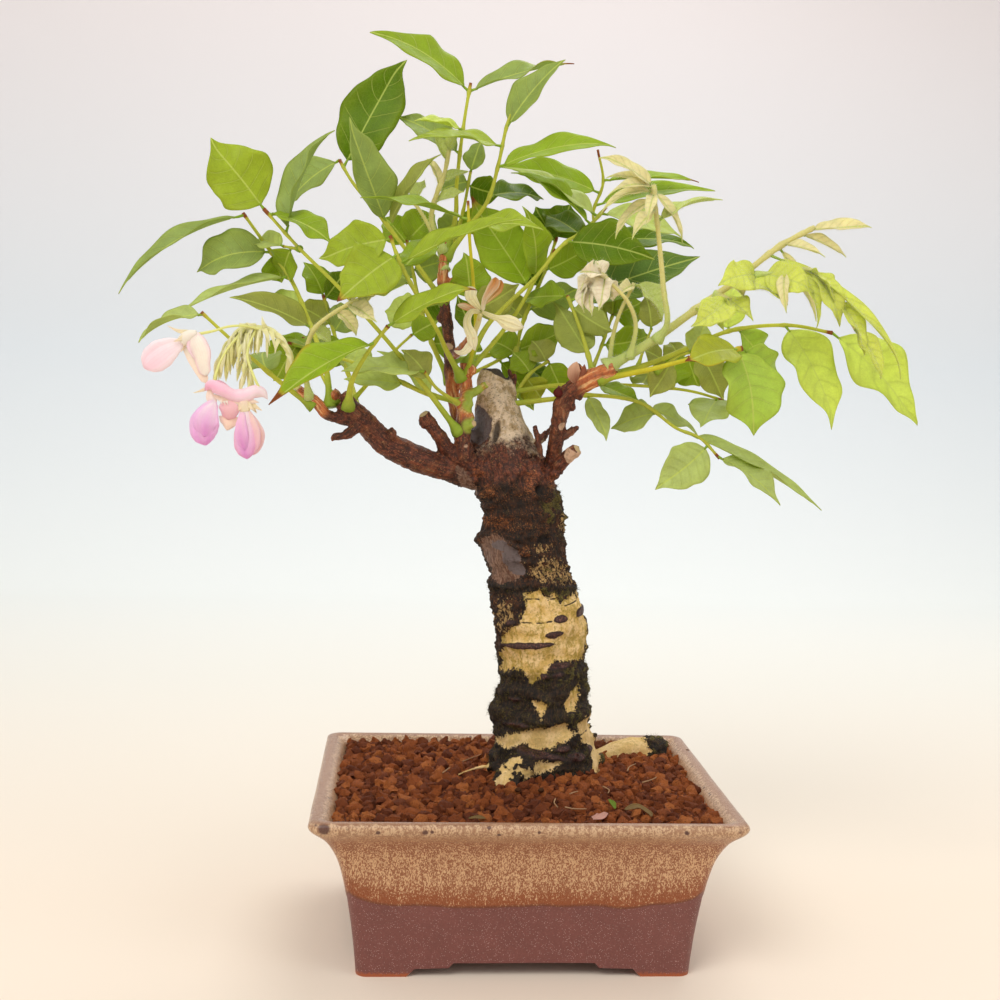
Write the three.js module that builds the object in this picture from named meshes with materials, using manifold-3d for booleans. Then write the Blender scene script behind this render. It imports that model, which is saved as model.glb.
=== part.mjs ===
// Japanese wisteria bonsai in a rectangular glazed pot: millimetres, +Z up, the front of the tree towards -Y.
import * as THREE from "three";
import { mergeVertices } from "three/addons/utils/BufferGeometryUtils.js";
import Module from "manifold-3d";

const wasm = await Module();
wasm.setup();

// Driving dimensions of the pot
const POT_BASE = [70.5, 60];
const POT_HEIGHT = 70;
const LIP_FLARE = 19.5;
const DEPTH_SHARE = 0.923;
const CORNER_RADIUS = 5;
const WALL = 6;
const FLOOR_UNDER = 6;
const FLOOR_TOP = 12;
const FOOT_LENGTH = 21.5;
const FOOT_STEP = 3.4;
const SKIRT_LENGTH = 41;
const UNDER_HALF = [53, 43];
const HOLE_RADIUS = 7;
const HOLE_X = 32;

// Driving dimensions of the soil, the stem and the blades
const GAP = 0.3;
const ROOT_GAP = 0.35;
const SOIL_EDGE = 66.5;
const SOIL_CROWN = 3.2;
const SOIL_REACH = [84, 72];
const SOIL_RISE = 0.018;
const PEBBLE = 8;
const BLADE = 0.75;
const MESH_SIZE = 20;
const MESH_THICK = 1.2;
const MESH_PITCH = 5.4;
const MESH_OPENING = 3.8;

// Colours as they look in daylight
const COLOURS = {
  pot: 0xb58e68, soil: 0x85401f, mesh: 0x3a4a3c, bark: 0x4a2f22,
  green: 0x76963a, lime: 0xaaba40, deep: 0x57802a, blue: 0x6d9150, olive: 0x969a4c,
  bright: 0x8aa832, pale: 0xb6c57c, cream: 0xd8ca90,
  pink: 0xf6cdd6, mauve: 0xdf9fd6, bud: 0xc4c489, withered: 0xe2cfa8,
};

// A seeded draw, the same on every run
function draws(seed) {
  let state = seed * 2654435761 >>> 0;
  return () => {
    state = (state + 0x6d2b79f5) >>> 0;
    let t = Math.imul(state ^ (state >>> 15), 1 | state);
    t = (t + Math.imul(t ^ (t >>> 7), 61 | t)) ^ t;
    return ((t ^ (t >>> 14)) >>> 0) / 4294967296;
  };
}

const vec = (p) => new THREE.Vector3(p[0], p[1], p[2]);

// A closed skin through rings of equal length; mirrored holds the columns whose faces split the other way
function loft(rings, mirrored = []) {
  const n = rings[0].length;
  const points = rings.flat();
  const faces = [];
  for (let k = 0; k + 1 < rings.length; k += 1) {
    for (let i = 0; i < n; i += 1) {
      const a = k * n + i;
      const b = k * n + ((i + 1) % n);
      const c = b + n;
      const d = a + n;
      if (mirrored[i]) faces.push(a, b, d, b, c, d);
      else faces.push(a, b, c, a, c, d);
    }
  }
  for (const [k, turn] of [[0, false], [rings.length - 1, true]]) {
    const middle = new THREE.Vector3();
    rings[k].forEach((p) => middle.addScaledVector(p, 1 / n));
    points.push(middle);
    for (let i = 0; i < n; i += 1) {
      const a = k * n + i;
      const b = k * n + ((i + 1) % n);
      if (turn) faces.push(points.length - 1, a, b);
      else faces.push(points.length - 1, b, a);
    }
  }
  const geometry = new THREE.BufferGeometry();
  const numbers = points.flatMap((p) => p.toArray());
  geometry.setAttribute("position", new THREE.Float32BufferAttribute(numbers, 3));
  geometry.setIndex(faces);
  return geometry;
}

// Geometry to solid, and back
function solid(geometry) {
  const bare = geometry.clone();
  bare.deleteAttribute("normal");
  bare.deleteAttribute("uv");
  const merged = mergeVertices(bare, 1e-5);
  const mesh = new wasm.Mesh({
    numProp: 3,
    vertProperties: new Float32Array(merged.attributes.position.array),
    triVerts: new Uint32Array(merged.index.array),
  });
  const made = new wasm.Manifold(mesh);
  if (made.volume() > 0) return made;
  mesh.triVerts = mesh.triVerts.reverse();
  return new wasm.Manifold(mesh);
}

function join(solids) {
  return solids.reduce((whole, piece) => whole.add(piece));
}

// The largest body of a solid, without loose scraps
function whole(piece) {
  const bodies = piece.decompose();
  return bodies.reduce((best, body) => (body.volume() > best.volume() ? body : best));
}

const group = new THREE.Group();

function place(name, piece, colour, roughness) {
  const mesh = whole(piece).getMesh();
  const geometry = new THREE.BufferGeometry();
  geometry.setAttribute("position", new THREE.BufferAttribute(new Float32Array(mesh.vertProperties), 3));
  geometry.setIndex(new THREE.BufferAttribute(new Uint32Array(mesh.triVerts), 1));
  const material = new THREE.MeshStandardMaterial({ color: COLOURS[colour], roughness, metalness: 0 });
  const made = new THREE.Mesh(geometry, material);
  made.name = name;
  group.add(made);
}

// A stem along a smooth line: radii are spread evenly over its length, and flat makes its section an oval
function stem(route, radii, sides, step, extra = 0, flat = 1) {
  const curve = new THREE.CatmullRomCurve3(route.map(vec), false, "centripetal");
  const steps = Math.max(2, Math.round(curve.getLength() / step));
  const frames = curve.computeFrenetFrames(steps, false);
  const rings = [];
  for (let k = 0; k <= steps; k += 1) {
    const t = k / steps;
    const at = t * (radii.length - 1);
    const low = Math.min(Math.floor(at), radii.length - 2);
    const radius = radii[low] + (radii[low + 1] - radii[low]) * (at - low) + extra;
    const centre = curve.getPointAt(t);
    if (extra && k === 0) centre.addScaledVector(curve.getTangentAt(0), -extra);
    if (extra && k === steps) centre.addScaledVector(curve.getTangentAt(1), extra);
    const ring = [];
    for (let i = 0; i < sides; i += 1) {
      const turn = (i / sides) * Math.PI * 2;
      ring.push(centre.clone()
        .addScaledVector(frames.normals[k], radius * Math.cos(turn))
        .addScaledVector(frames.binormals[k], radius * flat * Math.sin(turn)));
    }
    rings.push(ring);
  }
  return loft(rings);
}

// Pot: a rounded rectangle at a height, then the profile of the wall from foot to lip
function rectangleRing(halfX, halfY, radius, z, arc = 3) {
  const ring = [];
  for (const [sx, sy, start] of [[1, 1, 0], [-1, 1, 1], [-1, -1, 2], [1, -1, 3]]) {
    for (let k = 0; k <= arc; k += 1) {
      const turn = (start + k / arc) * Math.PI / 2;
      const x = sx * (halfX - radius) + radius * Math.cos(turn);
      const y = sy * (halfY - radius) + radius * Math.sin(turn);
      ring.push(new THREE.Vector3(x, y, z));
    }
  }
  return ring;
}

function potRing([z, out], radius) {
  return rectangleRing(POT_BASE[0] + out, POT_BASE[1] + out * DEPTH_SHARE, radius, z);
}

const OUTER_PROFILE = [
  [0, 0], [20, 2], [40, 5], [52, 8.2], [60, 12.6], [65.4, 18.4], [67.2, LIP_FLARE], [68.8, LIP_FLARE - 0.4],
  [POT_HEIGHT, LIP_FLARE - 2.2],
];
const RIM_PROFILE = [[POT_HEIGHT, LIP_FLARE - 4], [69.2, LIP_FLARE - 6.2]];
const INNER_PROFILE = [
  [65.5, LIP_FLARE - 9.6], [58, 6.2], [46, 1.8], [24, -2.8], [FLOOR_TOP, -WALL],
];

const POT_PROFILE = [...OUTER_PROFILE, ...RIM_PROFILE, ...INNER_PROFILE];
const potWall = solid(loft(POT_PROFILE.map((p) => potRing(p, CORNER_RADIUS))));

// The foot line seen from one side: a cut between the feet with a second, higher step in the middle
function footCut(half, length) {
  const foot = half - FOOT_LENGTH;
  const skirt = half - SKIRT_LENGTH;
  const shape = new THREE.Shape();
  shape.moveTo(-foot, -1);
  shape.lineTo(-foot, 0);
  shape.lineTo(-foot + FOOT_STEP, FOOT_STEP);
  shape.lineTo(-skirt - 2, FOOT_STEP + 0.4);
  shape.lineTo(-skirt, FLOOR_UNDER);
  shape.lineTo(skirt, FLOOR_UNDER);
  shape.lineTo(skirt + 2, FOOT_STEP + 0.4);
  shape.lineTo(foot - FOOT_STEP, FOOT_STEP);
  shape.lineTo(foot, 0);
  shape.lineTo(foot, -1);
  const cut = new THREE.ExtrudeGeometry(shape, { depth: 2 * length, bevelEnabled: false });
  cut.translate(0, 0, -length);
  cut.rotateX(Math.PI / 2);
  return cut;
}

const frontCut = solid(footCut(POT_BASE[0], 1.5 * POT_BASE[1]));
const sideCut = solid(footCut(POT_BASE[1], 1.5 * POT_BASE[0]).rotateZ(Math.PI / 2));
const underside = solid(new THREE.BoxGeometry(2 * UNDER_HALF[0], 2 * UNDER_HALF[1], 2 * FLOOR_UNDER));
let pot = potWall.subtract(frontCut).subtract(sideCut).subtract(underside);
for (const side of [-1, 1]) {
  const hole = new THREE.CylinderGeometry(HOLE_RADIUS, HOLE_RADIUS, 2 * FLOOR_TOP, 16).rotateX(Math.PI / 2);
  pot = pot.subtract(solid(hole.translate(side * HOLE_X, 0, FLOOR_TOP)));
}
place("pot", pot, "pot", 0.35);

// Mesh screens over the drain holes: a plate with rows of square openings
function screen(x) {
  const plate = solid(new THREE.BoxGeometry(MESH_SIZE, MESH_SIZE, MESH_THICK));
  const openings = [];
  for (let i = -1; i <= 1; i += 1) {
    for (let j = -1; j <= 1; j += 1) {
      const opening = new THREE.BoxGeometry(MESH_OPENING, MESH_OPENING, 3 * MESH_THICK);
      openings.push(solid(opening.translate(i * MESH_PITCH, j * MESH_PITCH, 0)));
    }
  }
  return plate.subtract(join(openings)).translate(x, 0, FLOOR_TOP + GAP + MESH_THICK / 2);
}
place("drain_mesh_left", screen(-HOLE_X), "mesh", 0.6);
place("drain_mesh_right", screen(HOLE_X), "mesh", 0.6);

// Trunk: height, centre x, centre y and radius from the taproot to the capped top
const TRUNK = [
  [46, 14, 18, 10], [60, 15, 18, 23], [70, 15, 18, 24.4], [79, 13.5, 18, 23.2], [88, 13, 18, 22.4],
  [98, 12, 18, 21.6], [109, 13, 18, 19.6], [118, 11.5, 18, 19.8], [128, 10.5, 18, 21.2], [138, 9.5, 18, 21.8],
  [148, 8.5, 18, 20.6], [157, 6, 18, 18.8], [165, 3, 18, 18.9], [174, 1.5, 18, 19.6], [185, 1, 18, 18],
  [196, -2, 18, 19.4], [208, -6, 19, 19.5], [216, -8, 19.5, 16.4], [226, -10, 20, 12.6], [240, -13, 21, 9],
  [248, -15, 21.5, 6.8], [253, -15.5, 22, 4.4],
];
const TRUNK_SIDES = 12;
const TRUNK_DEPTH = 0.94;

// Knobs, grooves and the healed wounds of the trunk as a share of its radius
function trunkRelief(turn, z) {
  const knobs = 0.035 * Math.sin(3 * turn + z * 0.11) + 0.03 * Math.sin(5 * turn - z * 0.23 + 1.3);
  const rings = 0.02 * Math.sin(z * 0.62 + 2 * Math.sin(turn));
  const wound = 0.13 * Math.exp(-(((z - 174) / 9) ** 2)) * Math.max(0, -Math.cos(turn + 0.35)) ** 3;
  const foot = 0.16 * Math.exp(-(((z - 64) / 12) ** 2)) * Math.max(0, Math.sin(2.5 * turn + 0.6));
  return 1 + knobs + rings + wound + foot;
}

function trunkSkin(extra) {
  return loft(TRUNK.map(([z, x, y, radius], k) => {
    const ring = [];
    const lift = (k === 0 ? -extra : 0) + (k === TRUNK.length - 1 ? extra : 0);
    for (let i = 0; i < TRUNK_SIDES; i += 1) {
      const turn = (i / TRUNK_SIDES) * Math.PI * 2;
      const reach = radius * trunkRelief(turn, z) + extra;
      const across = reach * Math.cos(turn);
      const deep = TRUNK_DEPTH * reach * Math.sin(turn);
      ring.push(new THREE.Vector3(x + across, y + deep, z + lift));
    }
    return ring;
  }));
}

// Roots: the knuckle in front, a thin feeder root, the cut root behind on the right, and those in the soil
const ROOTS = [
  { route: [[10, 6, 74], [2, -6, 74], [-5, -12, 71], [-3, -22, 60], [-2, -34, 44]],
    radii: [9, 7, 6, 5, 2.5], step: 9 },
  { route: [[-4, -6, 74], [-16, -4, 74], [-28, -3, 69.5], [-38, -2, 60]],
    radii: [2.2, 1.5, 1.3, 1], step: 9 },
  { route: [[20, 20, 58], [38, 36, 64], [56, 46, 69.5], [66, 49, 69.5], [76, 50, 68]],
    radii: [9, 7, 6.4, 6.6, 5.6], step: 9 },
  { route: [[8, 20, 60], [-14, 28, 52], [-36, 34, 40], [-52, 36, 26]],
    radii: [10, 6, 4, 2], step: 14 },
  { route: [[22, 16, 58], [42, 4, 48], [54, -10, 36], [58, -24, 24]],
    radii: [9, 6, 4, 2], step: 14 },
];

function rootstock(extra) {
  const roots = ROOTS.map((r) => solid(stem(r.route, r.radii, 6, r.step, extra)));
  return join([solid(trunkSkin(extra)), ...roots]);
}

// Branches, woody spurs and last year's shoots
const BRANCHES = [
  { name: "left",
    route: [[-4, 18, 202], [-21, 14, 203], [-38, 8, 208], [-56, 2, 215], [-63, 0, 219], [-71, -3, 227],
      [-82, -6, 237]],
    radii: [10, 7, 5, 6.3, 5.6, 5, 4.2] },
  { name: "left shoot",
    route: [[-76, -4, 229], [-87, -5, 230], [-93, -7, 236], [-101, -8, 242]],
    radii: [3.6, 2.6, 2.5, 2] },
  { name: "stub",
    route: [[-18, 14, 207], [-33, 7, 214], [-38, 3, 221], [-46, -2, 232]],
    radii: [5.5, 3.6, 3.2, 2.7] },
  { name: "centre",
    route: [[-18, 14, 206], [-26, 8, 212], [-28, 6, 222], [-28, 6, 231], [-27, 7, 240], [-28, 9, 255]],
    radii: [6, 4.4, 3.8, 3.4, 2.8, 2.4] },
  { name: "leader",
    route: [[-16, 20, 214], [-27, 16, 224], [-33, 20, 243], [-35, 24, 268], [-38, 26, 289],
      [-37, 28, 310]],
    radii: [4.5, 3.4, 2.8, 2.7, 2.6, 2.3] },
  { name: "flower stub",
    route: [[-35, 23, 258], [-31, 6, 260], [-26, -11, 266]],
    radii: [2.4, 2, 1.9] },
  { name: "right",
    route: [[2, 18, 200], [12, 13, 208], [14, 8, 220], [15, 4, 231], [17, 1, 241], [27, -4, 249],
      [38, -8, 254]],
    radii: [8, 4.4, 3.4, 3.6, 4.2, 4.6, 3.6] },
  { name: "right stub",
    route: [[8, 16, 203], [13, 10, 206], [18, 4, 213], [23, 0, 218]],
    radii: [5, 3.4, 3, 3] },
  { name: "right knob", route: [[17, 2, 238], [22, 0, 246], [24, -1, 252]], radii: [3.4, 3, 1.8] },
  { name: "dark twig", route: [[2, 20, 214], [8, 18, 221], [15, 20, 229]], radii: [3, 1.7, 1.2] },
  { name: "dead twig", route: [[5, 14, 206], [7, 6, 212], [4, 5, 228]], radii: [2.6, 1.5, 1.2] },
  { name: "top twig", route: [[-10, 20, 236], [-5, 20, 240], [-7, 24, 253]], radii: [1.8, 1.3, 1.1] },
  { name: "side bud", route: [[-72, -4, 228], [-80, -9, 222], [-86, -10, 221]], radii: [3, 2.4, 1.4] },
];

function branches(extra) {
  return join(BRANCHES.map(({ route, radii }) => solid(stem(route, radii, radii[0] > 4 ? 6 : 5, 12, extra))));
}

// Winter buds: small pointed ovals sunk into the wood, each as x, y, z and radius
const BUDS = [
  [-80, -8, 239, 2.2], [-88, -8, 244, 2], [-25, 6, 252, 2], [-31, 8, 242, 1.8], [8, 12, 236, 1.6],
  [14, 1, 243, 2], [20, 5, 229, 1.8], [-60, -4, 224, 2.2], [-6, 8, 232, 1.6], [-24, 4, 232, 2.2],
];
function buds(extra) {
  return BUDS.map(([x, y, z, r]) => {
    const bud = new THREE.OctahedronGeometry(r + extra, 0).scale(1, 1, 1.5);
    return solid(bud.translate(x, y, z));
  });
}

// The wood as one piece, and the same a little larger, which everything that grows beside it keeps clear of
place("trunk", join([rootstock(0), branches(0), ...buds(0)]), "bark", 0.85);
const woodHalo = join([rootstock(GAP), branches(GAP), ...buds(2 * GAP)]);

// Soil: a field of hard clay pebbles, crests and valleys by turns, cut to the inside of the pot
function soilHeight(x, y) {
  const reach = Math.hypot(x / SOIL_REACH[0], y / SOIL_REACH[1]);
  return SOIL_EDGE + SOIL_CROWN * Math.max(0, 1 - reach * reach) + SOIL_RISE * Math.max(0, y);
}

function pebbleField() {
  const random = draws(7);
  const columns = Math.ceil((2 * (POT_BASE[0] + LIP_FLARE) + PEBBLE) / PEBBLE);
  const rows = Math.ceil((2 * (POT_BASE[1] + LIP_FLARE) + PEBBLE) / PEBBLE);
  const points = [];
  const faces = [];
  for (let j = 0; j <= rows; j += 1) {
    for (let i = 0; i <= columns; i += 1) {
      const x = (i - columns / 2) * PEBBLE + (random() - 0.5) * PEBBLE * 0.5;
      const y = (j - rows / 2) * PEBBLE + (random() - 0.5) * PEBBLE * 0.5;
      const crest = (i + j) % 2 ? 1.5 : -1.3;
      points.push(x, y, soilHeight(x, y) + crest * (0.6 + 0.8 * random()));
    }
  }
  const top = points.length / 3;
  for (let j = 0; j <= rows; j += 1) {
    for (let i = 0; i <= columns; i += 1) {
      points.push((i - columns / 2) * PEBBLE, (j - rows / 2) * PEBBLE, 0);
    }
  }
  const at = (i, j) => j * (columns + 1) + i;
  for (let j = 0; j < rows; j += 1) {
    for (let i = 0; i < columns; i += 1) {
      const corners = [at(i, j), at(i + 1, j), at(i + 1, j + 1), at(i, j + 1)];
      const [a, b, c, d] = (i + j) % 2 ? [...corners.slice(1), corners[0]] : corners;
      faces.push(a, b, c, a, c, d);
      faces.push(top + a, top + c, top + b, top + a, top + d, top + c);
    }
  }
  const rim = [];
  for (let i = 0; i < columns; i += 1) rim.push(at(i, 0));
  for (let j = 0; j < rows; j += 1) rim.push(at(columns, j));
  for (let i = columns; i > 0; i -= 1) rim.push(at(i, rows));
  for (let j = rows; j > 0; j -= 1) rim.push(at(0, j));
  rim.forEach((a, k) => {
    const b = rim[(k + 1) % rim.length];
    faces.push(a, top + a, top + b, a, top + b, b);
  });
  const geometry = new THREE.BufferGeometry();
  geometry.setAttribute("position", new THREE.Float32BufferAttribute(points, 3));
  geometry.setIndex(faces);
  return solid(geometry);
}

const SOIL_PROFILE = [
  [FLOOR_TOP + GAP, -WALL], ...INNER_PROFILE.slice(0, -1).reverse(), [POT_HEIGHT + 6, LIP_FLARE],
];
const soilRings = SOIL_PROFILE.map(([z, out]) => potRing([z, out - 2 * GAP], CORNER_RADIUS - GAP));
let soil = pebbleField().intersect(solid(loft(soilRings))).subtract(rootstock(ROOT_GAP));
for (const side of [-1, 1]) {
  const pocket = new THREE.BoxGeometry(MESH_SIZE + 2 * GAP, MESH_SIZE + 2 * GAP, 2 * (MESH_THICK + 2 * GAP));
  soil = soil.subtract(solid(pocket.translate(side * HOLE_X, 0, FLOOR_TOP)));
}
place("soil", soil, "soil", 0.95);

// Leaflet outline: half width along the midrib, a short stalk, a round base and a drawn-out drip tip
const STATIONS_LARGE = [0, 0.1, 0.3, 0.62, 0.88, 1];
const STATIONS_MIDDLE = [0, 0.12, 0.42, 0.8, 1];
const STATIONS_SMALL = [0, 0.3, 0.75, 1];
const LARGE_WIDTH = 18;
const RIBBED_WIDTH = 12;
const EDGE_WAVE = 0.05;
const STALK_STEP = 18;
function stations(width) {
  if (width > LARGE_WIDTH) return STATIONS_LARGE;
  return width > RIBBED_WIDTH ? STATIONS_MIDDLE : STATIONS_SMALL;
}

function halfWidth(u, width) {
  if (u < 0.08) return 0.55;
  const s = (u - 0.08) / 0.92;
  const oval = Math.sin(Math.PI * s ** 0.72) ** 0.8;
  return Math.max(0.4, 0.5 * width * oval * (1 - 0.35 * s ** 4));
}

// One leaflet: from a point of the stalk to its tip, faced to the front and turned by roll, arched and folded
function leaflet(base, tip, width, roll, arch, fold, seed) {
  const random = draws(seed);
  const along = tip.clone().sub(base);
  const length = along.length();
  along.normalize();
  const face = new THREE.Vector3(0, -1, 0).addScaledVector(along, along.y).normalize();
  const rise = new THREE.Vector3().crossVectors(along, face);
  if (rise.z < 0) rise.negate();
  const angle = THREE.MathUtils.degToRad(roll);
  const normal = face.multiplyScalar(Math.cos(angle)).addScaledVector(rise, Math.sin(angle));
  const phase = random() * 6;
  const rings = stations(width).map((u) => {
    const slope = 4 * arch * (1 - 2 * u);
    const up = normal.clone().addScaledVector(along, -slope).normalize();
    const side = new THREE.Vector3().crossVectors(along, normal);
    const bow = 4 * arch * length * u * (1 - u);
    const mid = base.clone().addScaledVector(along, u * length).addScaledVector(normal, bow);
    const half = halfWidth(u, width);
    const lift = Math.tan(THREE.MathUtils.degToRad(fold)) * half;
    const wave = EDGE_WAVE * half * Math.sin(9 * u + phase);
    const left = mid.clone().addScaledVector(side, half).addScaledVector(up, lift + wave);
    const right = mid.clone().addScaledVector(side, -half).addScaledVector(up, lift - wave);
    const edges = width > RIBBED_WIDTH ? [left, mid, right] : [left, right];
    return [...edges, ...edges.map((p) => p.clone().addScaledVector(up, -BLADE)).reverse()];
  });
  const ribbed = [false, false, false, true, true, false];
  return loft(rings, width > RIBBED_WIDTH ? ribbed : [false, false, true, false]);
}

// Compound leaves: stalk radii, the stalk's route, then each leaflet as
// [place on the stalk, tip x, y, z, width, roll, arch, fold]
const LEAVES = [
  { name: "leaf_left_drooping", colour: "green", radii: [1.6, 1, 0.9, 0.7],
    route: [[-87, -5, 234], [-89, -1, 250], [-93, 2, 261], [-98, 6, 273], [-106, 10, 290], [-119, 14, 307],
      [-128, 16, 319]],
    blades: [[0.99, -182, 8, 282, 15, 60, 0.1, 20], [0.78, -149, 22, 292, 18, 25, 0.16, 10],
      [0.64, -154, 2, 274, 12, 70, 0.06, 20], [0.38, -131, -4, 281, 13, 40, 0.06, 30],
      [0.77, -111, 22, 289, 16, 20, 0.05, 4], [0.5, -119, 14, 281, 11, 60, 0.05, 20]] },
  { name: "leaf_left_tall", colour: "lime", radii: [1.6, 1, 0.9, 0.7],
    route: [[-30, 5, 224], [-46, -8, 244], [-63, -10, 264], [-85, -8, 287], [-101, -6, 302], [-117, -2, 319]],
    blades: [[1, -141, -6, 347, 26, 10, 0.05, 8], [0.89, -90, 6, 356, 20, 58, 0.06, 35],
      [0.98, -86, -12, 304, 16, 55, 0.1, 15]] },
  { name: "leaf_left_low", colour: "green", radii: [1.4, 0.9, 0.7],
    route: [[-94, -7, 234], [-104, -9, 241], [-120, -13, 254], [-129, -16, 262], [-141, -20, 273]],
    blades: [[0.98, -167, -24, 260, 14, 72, 0.1, 20], [0.4, -118, 8, 258, 17, 15, 0.04, 4]] },
  { name: "leaf_left_front", colour: "bright", radii: [1.6, 1, 0.8],
    route: [[-79, -8, 234], [-77, -17, 246], [-69, -24, 260], [-62, -28, 269]],
    blades: [[0.79, -109, -48, 235, 21, 45, 0.08, 25], [1, -26, -34, 287, 17, 52, 0.07, 12]] },
  { name: "leaf_left_inner", colour: "deep", radii: [1.2, 0.8, 0.6],
    route: [[-79, -4, 235], [-69, 4, 247], [-59, 12, 260], [-52, 16, 267]],
    blades: [[1, -40, 20, 274, 13, 10, 0.05, 4]] },
  { name: "leaf_pale_pair", colour: "pale", radii: [1.3, 0.9, 0.7],
    route: [[-28, 7, 237], [-45, 0, 241], [-59, 1, 247], [-81, 8, 255], [-107, 11, 262]],
    blades: [[0.34, -81, -6, 246, 14, 50, 0.06, 10], [0.18, -67, 8, 260, 12, 50, 0.06, 10],
      [0.86, -111, 18, 266, 10, 50, 0.05, 4]] },
  { name: "leaf_upper_left", colour: "green", radii: [1.5, 1, 0.9, 0.7],
    route: [[-37, 26, 282], [-44, 22, 291], [-55, 18, 305], [-69, 16, 322], [-80, 20, 335], [-86, 24, 345]],
    blades: [[0.95, -58, 34, 394, 27, 8, 0.06, 8], [1, -111, 30, 323, 17, 40, 0.08, 15],
      [0.55, -82, 2, 360, 18, 25, 0.05, 30], [0.52, -42, 10, 348, 12, 62, 0.05, 30]] },
  { name: "leaf_front_fan", colour: "lime", radii: [1.6, 1, 0.9, 0.7],
    route: [[-29, 8, 248], [-37, -1, 261], [-40, -8, 267], [-49, -18, 281], [-58, -24, 297], [-62, -26, 307]],
    blades: [[0.89, -83, -38, 278, 24, 15, 0.07, 10], [0.98, -92, -18, 296, 20, 18, 0.08, 10],
      [0.84, -7, -40, 315, 14, 62, 0.05, 20], [0.72, -75, -8, 284, 14, 50, 0.05, 10],
      [0.81, -42, 2, 310, 15, 35, 0.05, 4]] },
  { name: "leaf_yellow_stalk", colour: "lime", radii: [1.1, 0.8, 0.6],
    route: [[-27, 8, 249], [-24, -4, 268], [-26, -12, 291], [-28, -14, 308], [-29, -14, 324]],
    blades: [[0.9, -75, -10, 325, 16, 78, 0.04, 10], [0.84, 3, -24, 312, 15, 55, 0.08, 15]] },
  { name: "leaf_top_left", colour: "bright", radii: [1.5, 1, 0.8, 0.7],
    route: [[-37, 28, 306], [-33, 26, 321], [-33, 20, 335], [-31, 14, 358], [-29, 12, 373], [-28, 12, 379]],
    blades: [[0.95, -73, 8, 399, 17, 42, 0.08, 12], [0.95, 19, 18, 391, 14, 66, 0.05, 20],
      [0.59, -61, 28, 366, 16, 40, 0.07, 12], [0.73, -53, 0, 360, 8, 65, 0.04, 20]] },
  { name: "leaf_top_centre", colour: "bright", radii: [1.5, 1, 0.8, 0.7],
    route: [[-37, 28, 303], [-26, 20, 318], [-19, 14, 328], [-15, 10, 343], [-12, 8, 359], [-9, 8, 369]],
    blades: [[0.76, -55, -10, 350, 15, 62, 0.06, 12], [0.87, 13, 5, 390, 14, 35, 0.05, 25],
      [0.64, 36, 0, 353, 16, 50, 0.07, 12], [0.47, 9, 36, 332, 15, 50, 0.06, 12]] },
  { name: "leaf_right_inner", colour: "green", radii: [1.4, 1, 0.8],
    route: [[-27, 9, 250], [-11, 26, 269], [-2, 30, 282], [7, 32, 299], [14, 32, 309]],
    blades: [[0.72, -27, 36, 332, 25, 12, 0.07, 8], [0.79, -2, 10, 326, 15, 25, 0.05, 10]] },
  { name: "leaf_right_upper", colour: "deep", radii: [1.6, 1, 0.9, 0.7],
    route: [[-27, 10, 254], [-18, 15, 272], [-10, 18, 281], [4, 20, 295], [16, 20, 310], [26, 22, 317],
      [36, 24, 328]],
    blades: [[0.75, 57, 10, 304, 22, 15, 0.06, 15], [0.96, 75, 38, 317, 16, 48, 0.07, 12],
      [0.89, -8, 20, 343, 16, 60, 0.08, 15], [0.94, -10, 30, 346, 16, 62, 0.06, 12],
      [0.82, 10, 44, 326, 16, 30, 0.05, 5]] },
  { name: "leaf_right_high", colour: "green", radii: [1.4, 1, 0.8, 0.6],
    route: [[-34, 22, 256], [-8, 42, 262], [24, 46, 280], [37, 46, 307], [33, 48, 328], [37, 46, 342],
      [33, 38, 356]],
    blades: [[0.86, -13, 46, 348, 17, 38, 0.06, 10], [0.9, 84, 48, 345, 12, 70, 0.04, 15],
      [0.82, 95, 60, 342, 13, 50, 0.06, 15], [0.7, 87, 64, 315, 15, 50, 0.08, 12]] },
  { name: "leaf_right_olive", colour: "olive", radii: [1.4, 0.9, 0.7],
    route: [[29, -4, 250], [26, 8, 265], [23, 16, 276], [19, 22, 287]],
    blades: [[0.28, 14, 30, 285, 22, 185, 0.05, 10], [0.88, 38, 2, 270, 16, 165, 0.05, 10],
      [0.94, 83, 34, 308, 23, 25, 0.06, 12], [1, -1, 40, 286, 15, 45, 0.05, 8]] },
  { name: "leaf_right_yellow", colour: "bright", radii: [1.5, 1, 0.8],
    route: [[31, -6, 249], [52, -15, 254], [73, -20, 260], [91, -22, 264]],
    blades: [[0.97, 63, -40, 257, 19, 35, 0.05, 10], [0.97, 96, -26, 226, 30, 12, 0.1, 15],
      [1, 115, 6, 246, 20, 20, 0.08, 10]] },
  { name: "leaf_right_wide", colour: "lime", radii: [1.5, 1, 0.8],
    route: [[31, -5, 250], [55, 0, 257], [74, 6, 265], [93, 10, 273], [120, 10, 276], [139, 8, 273]],
    blades: [[0.81, 139, -4, 230, 22, 14, 0.12, 12], [1, 178, 0, 231, 24, 25, 0.1, 20],
      [0.58, 96, 24, 295, 17, 20, 0.05, 5], [0.62, 116, 24, 254, 16, 30, 0.05, 5]] },
  { name: "leaf_right_low", colour: "blue", radii: [1.5, 1, 0.8, 0.6],
    route: [[-13, 20, 236], [14, 14, 240], [30, 14, 242], [53, 12, 239], [69, 8, 228], [79, 4, 224],
      [88, 2, 215]],
    blades: [[0.93, 58, -2, 201, 20, 8, 0.04, 10], [0.83, 138, 10, 193, 14, 66, 0.03, 20],
      [0.99, 114, -8, 195, 17, 55, 0.08, 15], [0.68, 41, 24, 226, 17, 50, 0.05, 10],
      [0.38, 38, 6, 222, 11, 30, 0.05, 5], [0.64, 85, 30, 224, 13, 60, 0.04, 10]] },
  { name: "leaf_right_mid", colour: "blue", radii: [1.4, 1, 0.8, 0.6],
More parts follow.
